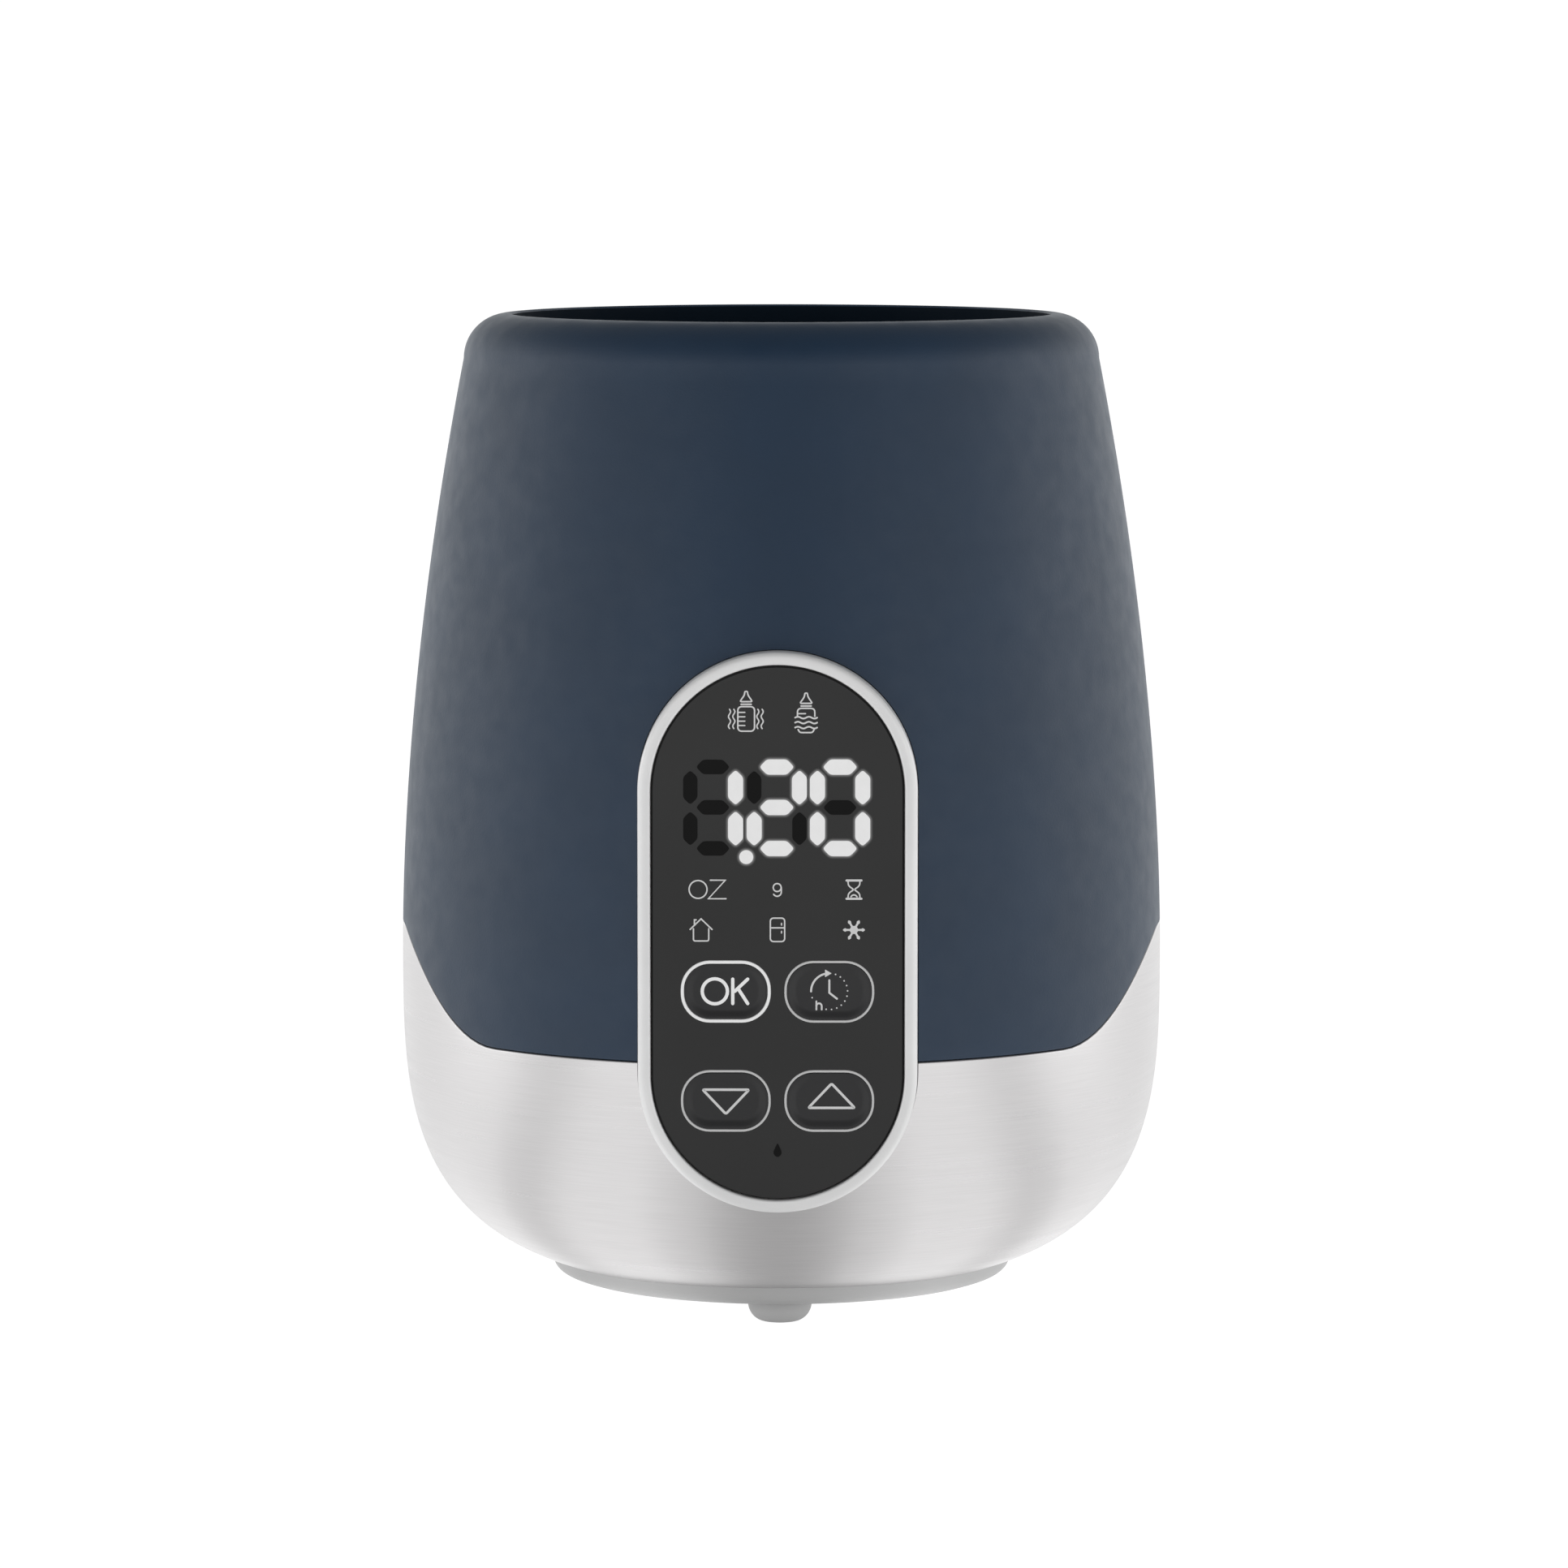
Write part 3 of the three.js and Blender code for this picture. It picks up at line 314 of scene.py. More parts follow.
def revolved(profile_at, sides=BODY_SIDES):
    """A solid round the Z axis from closed (radius, z) profiles, one for each angle."""
    rings = []
    for i in range(sides):
        angle = TURN * i / sides
        rings.append([(r * math.cos(angle), r * math.sin(angle), z) for r, z in profile_at(angle)])
    return Solid().ring_loft(rings)


def turned(corners, sides=TURNED_SIDES, steps=4):
    """A solid of revolution from (radius, z, fillet) corners."""
    profile = filleted(corners, steps=steps)
    return revolved(lambda angle: profile, sides)


def tube(inside, outside, low, high, edges=(0, 0, 0, 0), sides=TURNED_SIDES):
    """A hollow upright cylinder; edges are its fillets, from the inner lower one round."""
    corners = ((inside, low), (outside, low), (outside, high), (inside, high))
    return turned([(*corner, edge) for corner, edge in zip(corners, edges)], sides)


def rod(radius, low, high, sides=ROD_SIDES, low_edge=0, high_edge=0):
    """A solid upright cylinder with rounded edges."""
    return tube(0, radius, low, high, (0, low_edge, high_edge, 0), sides)


def moved(solid, x, y):
    solid.points = [(px + x, py + y, pz) for px, py, pz in solid.points]
    return solid


def laid_back(solid, x, y, z):
    """Lays a solid made round the Z axis along +Y, and puts its origin at a place."""
    solid.points = [(px + x, pz + y, -py + z) for px, py, pz in solid.points]
    return solid


def add_object(name, data):
    obj = bpy.data.objects.new(name, data)
    bpy.context.scene.collection.objects.link(obj)
    return obj


def object_of(name, solid, weld=True):
    """An object with the solid as its mesh; weld joins points that coincide."""
    mesh = bpy.data.meshes.new(name)
    mesh.from_pydata([(x * MM, y * MM, z * MM) for x, y, z in solid.points], [], solid.faces)
    shape = bmesh.new()
    shape.from_mesh(mesh)
    if weld:
        bmesh.ops.remove_doubles(shape, verts=shape.verts, dist=WELD_DISTANCE * MM)
        bmesh.ops.dissolve_degenerate(shape, edges=shape.edges, dist=SHORTEST_EDGE * MM)
    bmesh.ops.recalc_face_normals(shape, faces=shape.faces)
    shape.to_mesh(mesh)
    shape.free()
    return add_object(name, mesh)


def combined(obj, operation, *others):
    """Cuts others out of obj, or joins them to it, for good."""
    tools = [object_of("tool", other) for other in others]
    for tool in tools:
        modifier = obj.modifiers.new("combine", "BOOLEAN")
        modifier.operation = operation
        modifier.solver = "EXACT"
        modifier.object = tool
    bpy.context.view_layer.update()
    evaluated = obj.evaluated_get(bpy.context.evaluated_depsgraph_get())
    mesh = bpy.data.meshes.new_from_object(evaluated)
    obj.modifiers.clear()
    obj.data = mesh
    for tool in tools:
        bpy.data.objects.remove(tool)


def finish_piece(obj, slot, replaces=(), body="housing", material=None):
    """Shades and paints a finished piece, in its slot's material unless told another, attaches it to its
    body and hides the CAD parts it replaces.
    """
    mesh = obj.data
    mesh.shade_smooth()
    mesh.set_sharp_from_angle(angle=SHARP_ANGLE)
    mesh.materials.clear()
    mesh.materials.append(material or SLOT_PAINTS[slot])
    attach(obj, body)
    if replaces:
        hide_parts(*replaces)


# ---- Materials ----


class Nodes:
    """A node tree, with a short way to add a node."""

    def __init__(self, tree):
        self.tree = tree

    def feed(self, node, inputs):
        """Gives each input another node's output, or a value of its own."""
        for socket, source in inputs.items():
            if isinstance(source, bpy.types.NodeSocket):
                self.tree.links.new(source, node.inputs[socket])
            else:
                node.inputs[socket].default_value = source

    def node(self, kind, inputs={}, **settings):
        made = self.tree.nodes.new(kind)
        for key, value in settings.items():
            setattr(made, key, value)
        self.feed(made, inputs)
        return made

    def ranged(self, value, start, end, low, high, **settings):
        """Value with its span from start to end mapped to the span from low to high."""
        inputs = {"Value": value, "From Min": start, "From Max": end, "To Min": low, "To Max": high}
        return self.node("ShaderNodeMapRange", inputs, **settings).outputs["Result"]

    def scaled(self, value, factor):
        return self.node("ShaderNodeMath", {0: value, 1: factor}, operation="MULTIPLY").outputs[0]


class Paint(Nodes):
    """A Principled material whose colour, roughness and bump vary over the object."""

    def __init__(self, name, colour, roughness, **shader):
        self.material = bpy.data.materials.new(name)
        self.material.use_nodes = True
        super().__init__(self.material.node_tree)
        self.shader = self.tree.nodes["Principled BSDF"]
        self.feed(self.shader, {"Base Color": (*colour, 1), "Roughness": roughness})
        self.feed(self.shader, {key.replace("_", " "): value for key, value in shader.items()})
        self.colour = colour
        self.roughness = roughness
        self.place = self.node("ShaderNodeTexCoord").outputs["Object"]

    def noise(self, scale, detail=3, place=None):
        inputs = {"Scale": scale, "Detail": detail, "Vector": place or self.place}
        return self.node("ShaderNodeTexNoise", inputs).outputs["Fac"]

    def mottled(self, value, amount):
        """Colour that runs from a little darker to a little lighter with value."""
        ramp = self.node("ShaderNodeValToRGB", {"Fac": value})
        dark, light = ramp.color_ramp.elements
        dark.position, light.position = NOISE_LOW, NOISE_HIGH
        dark.color = (*[c * (1 - amount) for c in self.colour], 1)
        light.color = (*[min(c * (1 + amount), 1) for c in self.colour], 1)
        self.feed(self.shader, {"Base Color": ramp.outputs["Color"]})

    def uneven(self, value, amount):
        """Roughness that runs from a little less to a little more with value."""
        low, high = self.roughness - amount, self.roughness + amount
        self.feed(self.shader, {"Roughness": self.ranged(value, NOISE_LOW, NOISE_HIGH, low, high)})

    def bumped(self, value, strength, distance):
        inputs = {"Strength": strength, "Distance": distance * MM, "Height": value}
        bump = self.node("ShaderNodeBump", inputs)
        self.feed(self.shader, {"Normal": bump.outputs["Normal"]})

    def glows(self, strength, colour=(1, 1, 1)):
        self.feed(self.shader, {"Emission Color": (*colour, 1), "Emission Strength": strength})

    def round_axis(self, along, around):
        """Coordinates that wrap round the Z axis, for lines that run round a turned piece."""
        x, y, z = self.node("ShaderNodeSeparateXYZ", {"Vector": self.place}).outputs
        angle = self.node("ShaderNodeMath", {0: y, 1: x}, operation="ARCTAN2").outputs[0]
        joined = {"X": self.scaled(angle, around), "Y": self.scaled(z, along)}
        return self.node("ShaderNodeCombineXYZ", joined).outputs["Vector"]


def moulded(name, colour, roughness=0.5, grain=900, depth=0.02, **shader):
    """Moulded plastic: a fine even grain, with slow drifts of shade and gloss."""
    paint = Paint(name, colour, roughness, **shader)
    paint.mottled(paint.noise(scale=45), amount=0.05)
    paint.uneven(paint.noise(scale=120), amount=0.05)
    paint.bumped(paint.noise(grain, detail=4), strength=0.5, distance=depth)
    return paint.material


def soft_touch():
    """The shell's navy plastic, with a fine matt grain that catches light at the sides."""
    navy = (0.0055, 0.0235, 0.054)
    sheen = {"Sheen_Weight": 0.10, "Sheen_Roughness": 0.45, "Sheen_Tint": (0.82, 0.93, 1, 1)}
    paint = Paint("soft_touch_navy", navy, 0.48, Specular_IOR_Level=0.44, **sheen)
    paint.mottled(paint.noise(scale=60), amount=0.06)
    paint.uneven(paint.noise(scale=300), amount=0.04)
    paint.bumped(paint.noise(scale=2600, detail=2), strength=0.6, distance=0.03)
    return paint.material


def brushed(name, colour, roughness, anisotropy=0.7, fine=4500, around=5):
    """Steel brushed round its axis: hairlines, and wider bands a little brighter or duller."""
    paint = Paint(name, colour, roughness, Metallic=1.0, Anisotropic=anisotropy, Anisotropic_Rotation=0.25)
    wrapped = paint.round_axis(fine, around)
    hairlines = paint.noise(scale=1, detail=2, place=wrapped)
    bands = paint.noise(scale=0.15, detail=2, place=wrapped)
    paint.mottled(hairlines, amount=0.025)
    paint.uneven(bands, amount=0.03)
    paint.bumped(hairlines, strength=0.1, distance=0.001)
    tangent = paint.node("ShaderNodeTangent", direction_type="RADIAL", axis="Z")
    paint.feed(paint.shader, {"Tangent": tangent.outputs["Tangent"]})
    return paint.material


def satin_metal(name, colour, roughness, metallic=1.0, grain=1500):
    paint = Paint(name, colour, roughness, Metallic=metallic)
    paint.mottled(paint.noise(scale=80), amount=0.03)
    paint.uneven(paint.noise(grain), amount=0.06)
    paint.bumped(paint.noise(grain * 2, detail=2), strength=0.3, distance=0.01)
    return paint.material


def lit(name, colour, strength):
    """A lit mark: it glows evenly, with the slight cloudiness of a diffuser."""
    paint = Paint(name, colour, roughness=0.5)
    paint.mottled(paint.noise(scale=700), amount=0.02)
    paint.glows(strength, colour)
    return paint.material


def glowing(name, colour, roughness, strength):
    """The fascia's own finish, with light added where the mesh's glow attribute says."""
    paint = Paint(name, colour, roughness, Specular_IOR_Level=0.25)
    paint.mottled(paint.noise(scale=45), amount=0.05)
    share = paint.node("ShaderNodeAttribute", attribute_name="glow")
    paint.glows(paint.scaled(share.outputs["Fac"], strength))
    return paint.material


# Painted shade: the shell's navy made far darker and less glossy for the inside of the mouth, standing in
# for the shadow there.
MOUTH_PAINTED_SHADE = moulded("mouth_painted_shade", (0.003, 0.008, 0.015), 0.7, Specular_IOR_Level=0.08)
BASKET = moulded("basket_white", (0.74, 0.74, 0.71), 0.4, 700, 0.015, Subsurface_Weight=0.15)
GLOW = glowing("fascia_glow", (0.029, 0.029, 0.029), 0.42, 0.22)
UNLIT = moulded("unlit_window", (0.005, 0.005, 0.005), 0.4, 2200, 0.004, Specular_IOR_Level=0.12)
PRINT = lit("pale_print", (0.60, 0.60, 0.60), 0.10)
LIT = lit("lit_mark", (0.60, 0.60, 0.60), 0.42)

SLOT_PAINTS = {
    "navy_shell": soft_touch(),
    "steel_cup": brushed("brushed_steel", (0.64, 0.63, 0.632), 0.3),
    "plate_steel": brushed("plate_steel", (0.62, 0.62, 0.63), 0.32, 0.5, fine=2500, around=3),
    "silver_bezel": satin_metal("satin_silver", (0.80, 0.80, 0.80), 0.42, 0.3),
    "fascia": moulded("dark_fascia", (0.029, 0.029, 0.029), 0.42, 2200, 0.006, Specular_IOR_Level=0.25),
    "key_cap": moulded("key_plastic", (0.029, 0.029, 0.030), 0.38, 2000, 0.008, Specular_IOR_Level=0.28),
    "light_guide": lit("ring_line", (0.50, 0.50, 0.50), 0.10),
    "chamber": moulded("chamber_navy", (0.012, 0.020, 0.034), 0.42),
    "grey_plastic": moulded("base_grey", (0.42, 0.42, 0.42), 0.5),
    "white_plastic": moulded("natural_white", (0.75, 0.75, 0.71), 0.45),
    "black_plastic": moulded("moulded_black", (0.012, 0.012, 0.013), 0.42),
    "foot_rubber": moulded("foot_rubber", (0.48, 0.48, 0.48), 0.75, 1400, 0.03),
    "seal_rubber": moulded("silicone", (0.50, 0.52, 0.54), 0.55, 600, 0.01, Subsurface_Weight=0.1),
    "cast_aluminium": satin_metal("cast_aluminium", (0.62, 0.63, 0.64), 0.5, grain=500),
    "screw_steel": satin_metal("zinc_plate", (0.62, 0.62, 0.60), 0.3),
    "circuit_board": moulded("solder_mask", (0.012, 0.10, 0.04), 0.3, 500, 0.01),
    "copper_winding": satin_metal("winding", (0.55, 0.27, 0.06), 0.4),
    "fuse_glass": moulded("fuse_glass", (0.62, 0.66, 0.65), 0.08, 200, 0.002, Transmission_Weight=0.6),
    "red_wire": moulded("red_insulation", (0.40, 0.02, 0.015), 0.4),
    "blue_wire": moulded("blue_insulation", (0.02, 0.06, 0.32), 0.4),
}


def paint_cad_nodes():
    """Gives every CAD node the procedural material of its slot."""
    for part in frame["record"]["subparts"]:
        node = frame["nodes"].get(part["node"])
        if node is None:
            continue
        for place in node.material_slots:
            place.material = SLOT_PAINTS[part["material_slot"]]


# ---- Casing ----

BASE_SCREWS = (1, 2, 3)
FEET = ("front", "rear_right", "rear_left")


def body_radius(z):
    if z < WIDEST_Z:
        return BODY_RADIUS * (1 - ((WIDEST_Z - z) / BOWL_DEPTH) ** BOWL_POWER) ** (1 / BOWL_POWER)
    return BODY_RADIUS - TAPER_DROP * ((z - WIDEST_Z) / (SHOULDER_Z - WIDEST_Z)) ** TAPER_POWER


def under_surface(z, depth):
    """The (radius, z) point square below the outer surface at height z."""
    step = 0.01
    slope = (body_radius(z + step) - body_radius(z - step)) / (2 * step)
    length = math.hypot(1, slope)
    return body_radius(z) - depth / length, z + depth * slope / length


def split_z(angle):
    """Height of the seam: low at the front and back, high at the sides."""
    from_front = math.atan2(abs(math.cos(angle)), abs(math.sin(angle)))
    return SPLIT_LOW_Z + SPLIT_RISE * smoothstep(from_front, SPLIT_START, SPLIT_END)


def panel_cutter():
    clearance, ahead, depth = 0.15, 2, BEZEL_DEPTH + 8
    return Solid().plate([stadium(-clearance)], FRONT_Y - ahead, depth)


def make_upper_shell():
    lip_underside = HEIGHT - LIP_THICKNESS
    arc_centre = body_radius(SHOULDER_Z) - SHOULDER_ARC
    inner_arc = SHOULDER_ARC - SHELL_WALL
    lip_angle = math.degrees(math.asin((lip_underside - SHOULDER_Z) / inner_arc))
    seam_edge, lip_edge, under_edge = 0.25, 0.5, 0.3

    def profile_at(angle):
        split = split_z(angle)
        shoulder = arc(arc_centre, SHOULDER_Z, SHOULDER_ARC, 0, 88, 14)
        lip = filleted([
            (arc_centre + 0.2, HEIGHT, 0),
            (MOUTH_RADIUS, HEIGHT, lip_edge),
            (MOUTH_RADIUS, lip_underside, under_edge),
            (arc_centre + inner_arc * math.cos(math.radians(lip_angle)), lip_underside, 0),
        ], closed=False)
        outside = [(body_radius(z), z) for z in spread(split + seam_edge, SHOULDER_Z, 44)]
        inside = [(body_radius(z) - SHELL_WALL, z) for z in spread(SHOULDER_Z, SKIRT_Z, 16)[1:]]
        seam = arc(body_radius(split) - seam_edge, split + seam_edge, seam_edge, -90, -15, 4)
        skirt = [(body_radius(z) - SKIRT_WALL, z) for z in (SKIRT_Z, split)]
        under = arc(arc_centre, SHOULDER_Z, inner_arc, lip_angle, 0, 4)
        return [*skirt, *seam, *outside, *shoulder[1:], *lip, *under[1:], *inside]

    shell = object_of("upper_shell_moulding", revolved(profile_at))
    combined(shell, "DIFFERENCE", panel_cutter())
    finish_piece(shell, "navy_shell", ["upper_shell"])
    # Faces inside the mouth, below the top of the lip, get the painted shade: a darker navy in place of the
    # shadow that falls there.
    shell.data.materials.append(MOUTH_PAINTED_SHADE)
    painted_shade_radius, painted_shade_top = MOUTH_RADIUS + 0.12, HEIGHT - 0.35
    for face in shell.data.polygons:
        radius = math.hypot(face.center.x, face.center.y) / MM
        if radius < painted_shade_radius and face.center.z / MM < painted_shade_top:
            face.material_index = 1


def make_steel_cup():
    edge, cord_hole_radius, cord_hole_depth = 0.3, 5.9, 30

    def profile_at(angle):
        top = split_z(angle) - SEAM_GAP
        # The levels stand closer together low down, where the wall turns in.
        levels = [CUP_FOOT_Z + (top - edge - CUP_FOOT_Z) * t ** 1.6 for t in spread(0, 1, 44)]
        outside = [(body_radius(z), z) for z in levels]
        rim = arc(body_radius(top) - edge, top - edge, edge, 15, 90, 4)
        inside = [under_surface(z, CUP_WALL) for z in reversed(levels[::4])]
        return [*outside, *rim, (body_radius(top) - CUP_WALL, top), *inside]

    gland = middle_of("cord_gland")
    cord_hole = rod(cord_hole_radius, -cord_hole_depth, 4, 64)
    laid_back(cord_hole, gland.x, BODY_RADIUS, gland.z)
    cup = object_of("steel_cup_pressing", revolved(profile_at))
    combined(cup, "DIFFERENCE", panel_cutter(), cord_hole)
    finish_piece(cup, "steel_cup", ["steel_cup"])


def make_base():
    """The grey ring and floor under the cup, with bosses for its screws and sockets for the feet."""
    rim_radius, bevel, floor_radius = 36.7, 0.9, 33.0
    wall_outside, wall_inside = 35.6, 33.4
    boss_radius, head_radius, shank_radius, socket_radius = 4.4, 3.3, 1.7, 5.15
    base_low, base_high = box_mm("base_cover")
    bottom = base_low.z
    rim_top = CUP_FOOT_Z + 0.1
    floor_top = bottom + 2
    dish = turned([
        (0, bottom, 0), (floor_radius, bottom, 0.5), (rim_radius - bevel, bottom + bevel, 1.6),
        (rim_radius, rim_top, 0), (wall_outside, rim_top, 0), (wall_outside, base_high.z, 0.4),
        (wall_inside, base_high.z, 0.4), (wall_inside, floor_top, 0.6), (0, floor_top, 0),
    ], BODY_SIDES, steps=6)
    cover = object_of("base_cover_moulding", dish)
    bosses, holes = [], []
    seat = box_mm("base_screw_1")[0].z + 1.9
    for i in BASE_SCREWS:
        screw = middle_of(f"base_screw_{i}")
        boss = rod(boss_radius, bottom + 0.5, floor_top + 2, high_edge=0.4)
        bosses.append(moved(boss, screw.x, screw.y))
        hole = turned([
            (0, 0, 0), (head_radius, 0, 0), (head_radius, seat, 0),
            (shank_radius, seat, 0), (shank_radius, 9, 0), (0, 9, 0),
        ], ROD_SIDES)
        holes.append(moved(hole, screw.x, screw.y))
    for side in FEET:
        foot = middle_of("foot_" + side)
        holes.append(moved(rod(socket_radius, 1, bottom + 0.8), foot.x, foot.y))
    combined(cover, "UNION", *bosses)
    combined(cover, "DIFFERENCE", *holes)
    finish_piece(cover, "grey_plastic", ["base_cover"])


def make_foot(side):
    """A rubber foot whose edge rises in a wide quarter of an ellipse."""
    radius, edge_width, edge_height = 5.0, 2.7, 3.0
    centre = middle_of("foot_" + side)
    top = box_mm("foot_" + side)[1].z
    quarter = arc(0, 0, 1, -90, 0, 14)
    dome = [(radius - edge_width + edge_width * x, edge_height * (1 + z)) for x, z in quarter]
    profile = [(0, 0), *dome, (radius, top), (0, top)]
    solid = moved(revolved(lambda angle: profile, 64), centre.x, centre.y)
    finish_piece(object_of("rubber_foot_" + side, solid), "foot_rubber", ["foot_" + side])


def make_base_screw(i):
    head_radius, shank_radius, point_radius = 2.8, 1.3, 0.5
    slot_width, slot_length = 0.7, 3.4
    low, high = box_mm(f"base_screw_{i}")
    centre = (low + high) / 2
    seat = low.z + 1.6
    body = turned([
        (0, low.z, 0), (head_radius, low.z, 0.9), (head_radius, seat, 0.1), (shank_radius, seat, 0),
        (shank_radius, high.z - 0.8, 0), (point_radius, high.z, 0), (0, high.z, 0),
    ], 32)
    screw = object_of(f"cross_head_screw_{i}", body)
    slots = []
    for width, length in ((slot_width, slot_length), (slot_length, slot_width)):
        outline = rounded_rectangle(width, length, 0.2, steps=3)
        rings = [[(x, y, z) for x, y in outline] for z in (low.z - 1, low.z + 1)]
        slots.append(Solid().loft(rings))
    combined(screw, "DIFFERENCE", *slots)
    screw.location = (centre.x * MM, centre.y * MM, 0)
    finish_piece(screw, "screw_steel", [f"base_screw_{i}"])


def make_gland():
    """The cord's bushing: its flange is fitted to the cup's round wall."""
    bore, sleeve_radius, flange_radius = 3.6, 5.5, 6.6
    centre = middle_of("cord_gland")
    front, back = [corner.y - BODY_RADIUS for corner in box_mm("cord_gland")]
    solid = turned([
        (bore, front, 0.3), (sleeve_radius, front, 0.3), (flange_radius, front + 4, 0),
        (flange_radius, back, 0.9), (bore, back, 0.8),
    ], 64, steps=6)
    levels = spread(centre.z - 12, centre.z + 12, 24)
    wall = [(body_radius(z) + 0.1, z) for z in levels]
    cup = revolved(lambda angle: [(0, levels[0]), *wall, (0, levels[-1])])
    sleeve = tube(bore, sleeve_radius, front, back - 1, sides=64)
    gland = object_of("cord_bushing", laid_back(solid, centre.x, BODY_RADIUS, centre.z))
    combined(gland, "DIFFERENCE", cup)
    combined(gland, "UNION", laid_back(sleeve, centre.x, BODY_RADIUS, centre.z))
    finish_piece(gland, "black_plastic", ["cord_gland"])


# ---- Inside the mouth ----


def make_chamber():
    """The water chamber, the ring that seals it to the lip, and the hot plate in its floor."""
    low, high = box_mm("water_chamber")
    hole, foot_radius, rim_radius, rim_inside, floor_inside, wall = 36.5, 47.3, 46, 41.0, 39.9, 2
    floor, under_rim = low.z + 2, high.z - 2
    flange = floor + 0.3
    chamber = turned([
        (hole, low.z, 0), (foot_radius, low.z, 0.3), (foot_radius, flange, 0.3),
        (floor_inside + wall, flange, 0.8), (rim_inside + wall, under_rim, 0.5),
        (rim_radius, under_rim, 0.3), (rim_radius, high.z, 0.4), (rim_inside, high.z, 0.6),
        (floor_inside, floor, 1.6), (hole, floor, 0.3),
    ], BODY_SIDES)
    finish_piece(object_of("water_chamber_moulding", chamber), "chamber", ["water_chamber"])
    low, high = box_mm("rim_seal")
    seal = tube(42.7, 45, low.z, high.z, [0.4] * 4, BODY_SIDES)
    finish_piece(object_of("rim_seal_ring", seal), "seal_rubber", ["rim_seal"])
    low, high = box_mm("heater_plate")
    sheet, flange_radius, plate_radius = 1.5, 42, 35.8
    inside = plate_radius - sheet
    plate = turned([
        (0, high.z - sheet, 0), (inside, high.z - sheet, 0.8), (inside, low.z, 0.8),
        (flange_radius, low.z, 0), (flange_radius, low.z + sheet, 0),
        (plate_radius, low.z + sheet, 0.6), (plate_radius, high.z, 1.4), (0, high.z, 0),
    ], BODY_SIDES)
    finish_piece(object_of("heater_plate_pressing", plate), "plate_steel", ["heater_plate"])


def sector(inner, outer, middle, width, bottom, top, corner=0.0):
    """A curved wall panel, its angles in degrees; corner rounds its upper corners."""
    rings = []
    for degrees in spread(middle - width / 2, middle + width / 2, 24):
        angle = math.radians(degrees)
        from_side = (width / 2 - abs(degrees - middle)) * math.radians(1) * outer
        drop = corner - math.sqrt(max(corner ** 2 - max(corner - from_side, 0) ** 2, 0))
        profile = filleted([
            (inner, bottom, 0), (outer, bottom, 0), (outer, top - drop, 0.5), (inner, top - drop, 0.5),
        ])
        rings.append([(r * math.cos(angle), r * math.sin(angle), z) for r, z in profile])
    return Solid().loft(rings)


def make_basket():
    """The lift-out basket: a drained floor on feet, three posts, a ring and two grips."""
    low, high = box_mm("bottle_basket")
    inside, outside = 36.6, 38.6
    posts_outside = outside - 0.05  # a little inside the ring, so that no faces coincide
    floor_low, floor_top = low.z + 1.7, low.z + 3.7
    ring_top = high.z - 4
    ring_low = ring_top - 6
    hole_radius, drain_radius, drains, drain_circle = 5, 4.5, 6, 20
    foot_radius, foot_circle = 2, 30
    hole_low, hole_high = 40, 60
    floor = rod(outside, floor_low, floor_top, TURNED_SIDES, 0.6, 0.6)
    basket = object_of("basket_moulding", floor)
    walls = [tube(inside, outside, ring_low, ring_top, (0.5, 0.5, 0.6, 0.6))]
    for middle in (90, 210, 330):
        walls.append(sector(inside, posts_outside, middle, 26, floor_low + 0.6, ring_top - 1))
        angle = math.radians(middle + 30)
        foot = rod(foot_radius, low.z, floor_low + 0.5, 32, low_edge=0.6)
        walls.append(moved(foot, foot_circle * math.cos(angle), foot_circle * math.sin(angle)))
    for middle in (0, 180):
        walls.append(sector(inside, posts_outside, middle, 30, ring_top - 1, high.z, corner=3))
    holes = [rod(hole_radius, hole_low, hole_high)]
    for i in range(drains):
        angle = TURN * i / drains
        drain = rod(drain_radius, hole_low, hole_high)
        holes.append(moved(drain, drain_circle * math.cos(angle), drain_circle * math.sin(angle)))
    combined(basket, "DIFFERENCE", *holes)
    combined(basket, "UNION", *walls)
    finish_piece(basket, "white_plastic", ["bottle_basket"], body="basket", material=BASKET)


# ---- Control panel ----


def make_bezel():
    """A ring swept round the panel: a softly crowned front, a ledge for the fascia, a back flange."""
    crown, ledge_front, ledge_back = 0.15, 2.0, 3.2
    ledge_inset = BEZEL_WALL + LEDGE_WIDTH
    flange_width, flange_back = 2.5, BEZEL_DEPTH + 1.4
    section = filleted([
        (0.0, crown, 0.9), (BEZEL_WALL - 0.05, 0.0, 0.45), (BEZEL_WALL, ledge_front, 0.1),
        (ledge_inset, ledge_front, 0.2), (ledge_inset, ledge_back, 0.2),
        (BEZEL_WALL, ledge_back, 0.2), (BEZEL_WALL, flange_back, 0.2),
        (-flange_width, flange_back, 0.3), (-flange_width, BEZEL_DEPTH, 0.3), (0.0, BEZEL_DEPTH, 0.2),
    ], steps=5)
    rings = [at_depth(stadium(inset, 48), FRONT_Y + depth) for inset, depth in section]
    bezel = object_of("bezel_ring", Solid().ring_loft(rings))
    bore, boss_radius = 1.3, 2.3
    boss_front = FRONT_Y + ledge_back - 0.2
    length = box_mm("control_board")[0].y - 0.3 - boss_front
    bosses = []
    for reach, height in ((16.6, -16.8), (12.2, 31.9)):
        for x in (-reach, reach):
            boss = turned([
                (bore, 1.5, 0), (boss_radius, 0, 0), (boss_radius, length, 0.3), (bore, length, 0.2),
            ], 24)
            bosses.append(laid_back(boss, x, boss_front, PANEL_Z + height))
    combined(bezel, "UNION", *bosses)
    finish_piece(bezel, "silver_bezel", ["panel_bezel"])


def key_centre(name):
    centre = middle_of("key_" + name)
    return centre.x, centre.z


def key_outline(name, grow, steps=10):
    x, z = key_centre(name)
    width, height = KEY_RING_WIDTH + 2 * grow, KEY_RING_HEIGHT + 2 * grow
    return rounded_rectangle(width, height, KEY_RING_RADIUS + grow, x, z, steps)


def ring_line(name):
    """Width of the line of light round a key."""
    return 0.46 if name == "ok" else 0.36


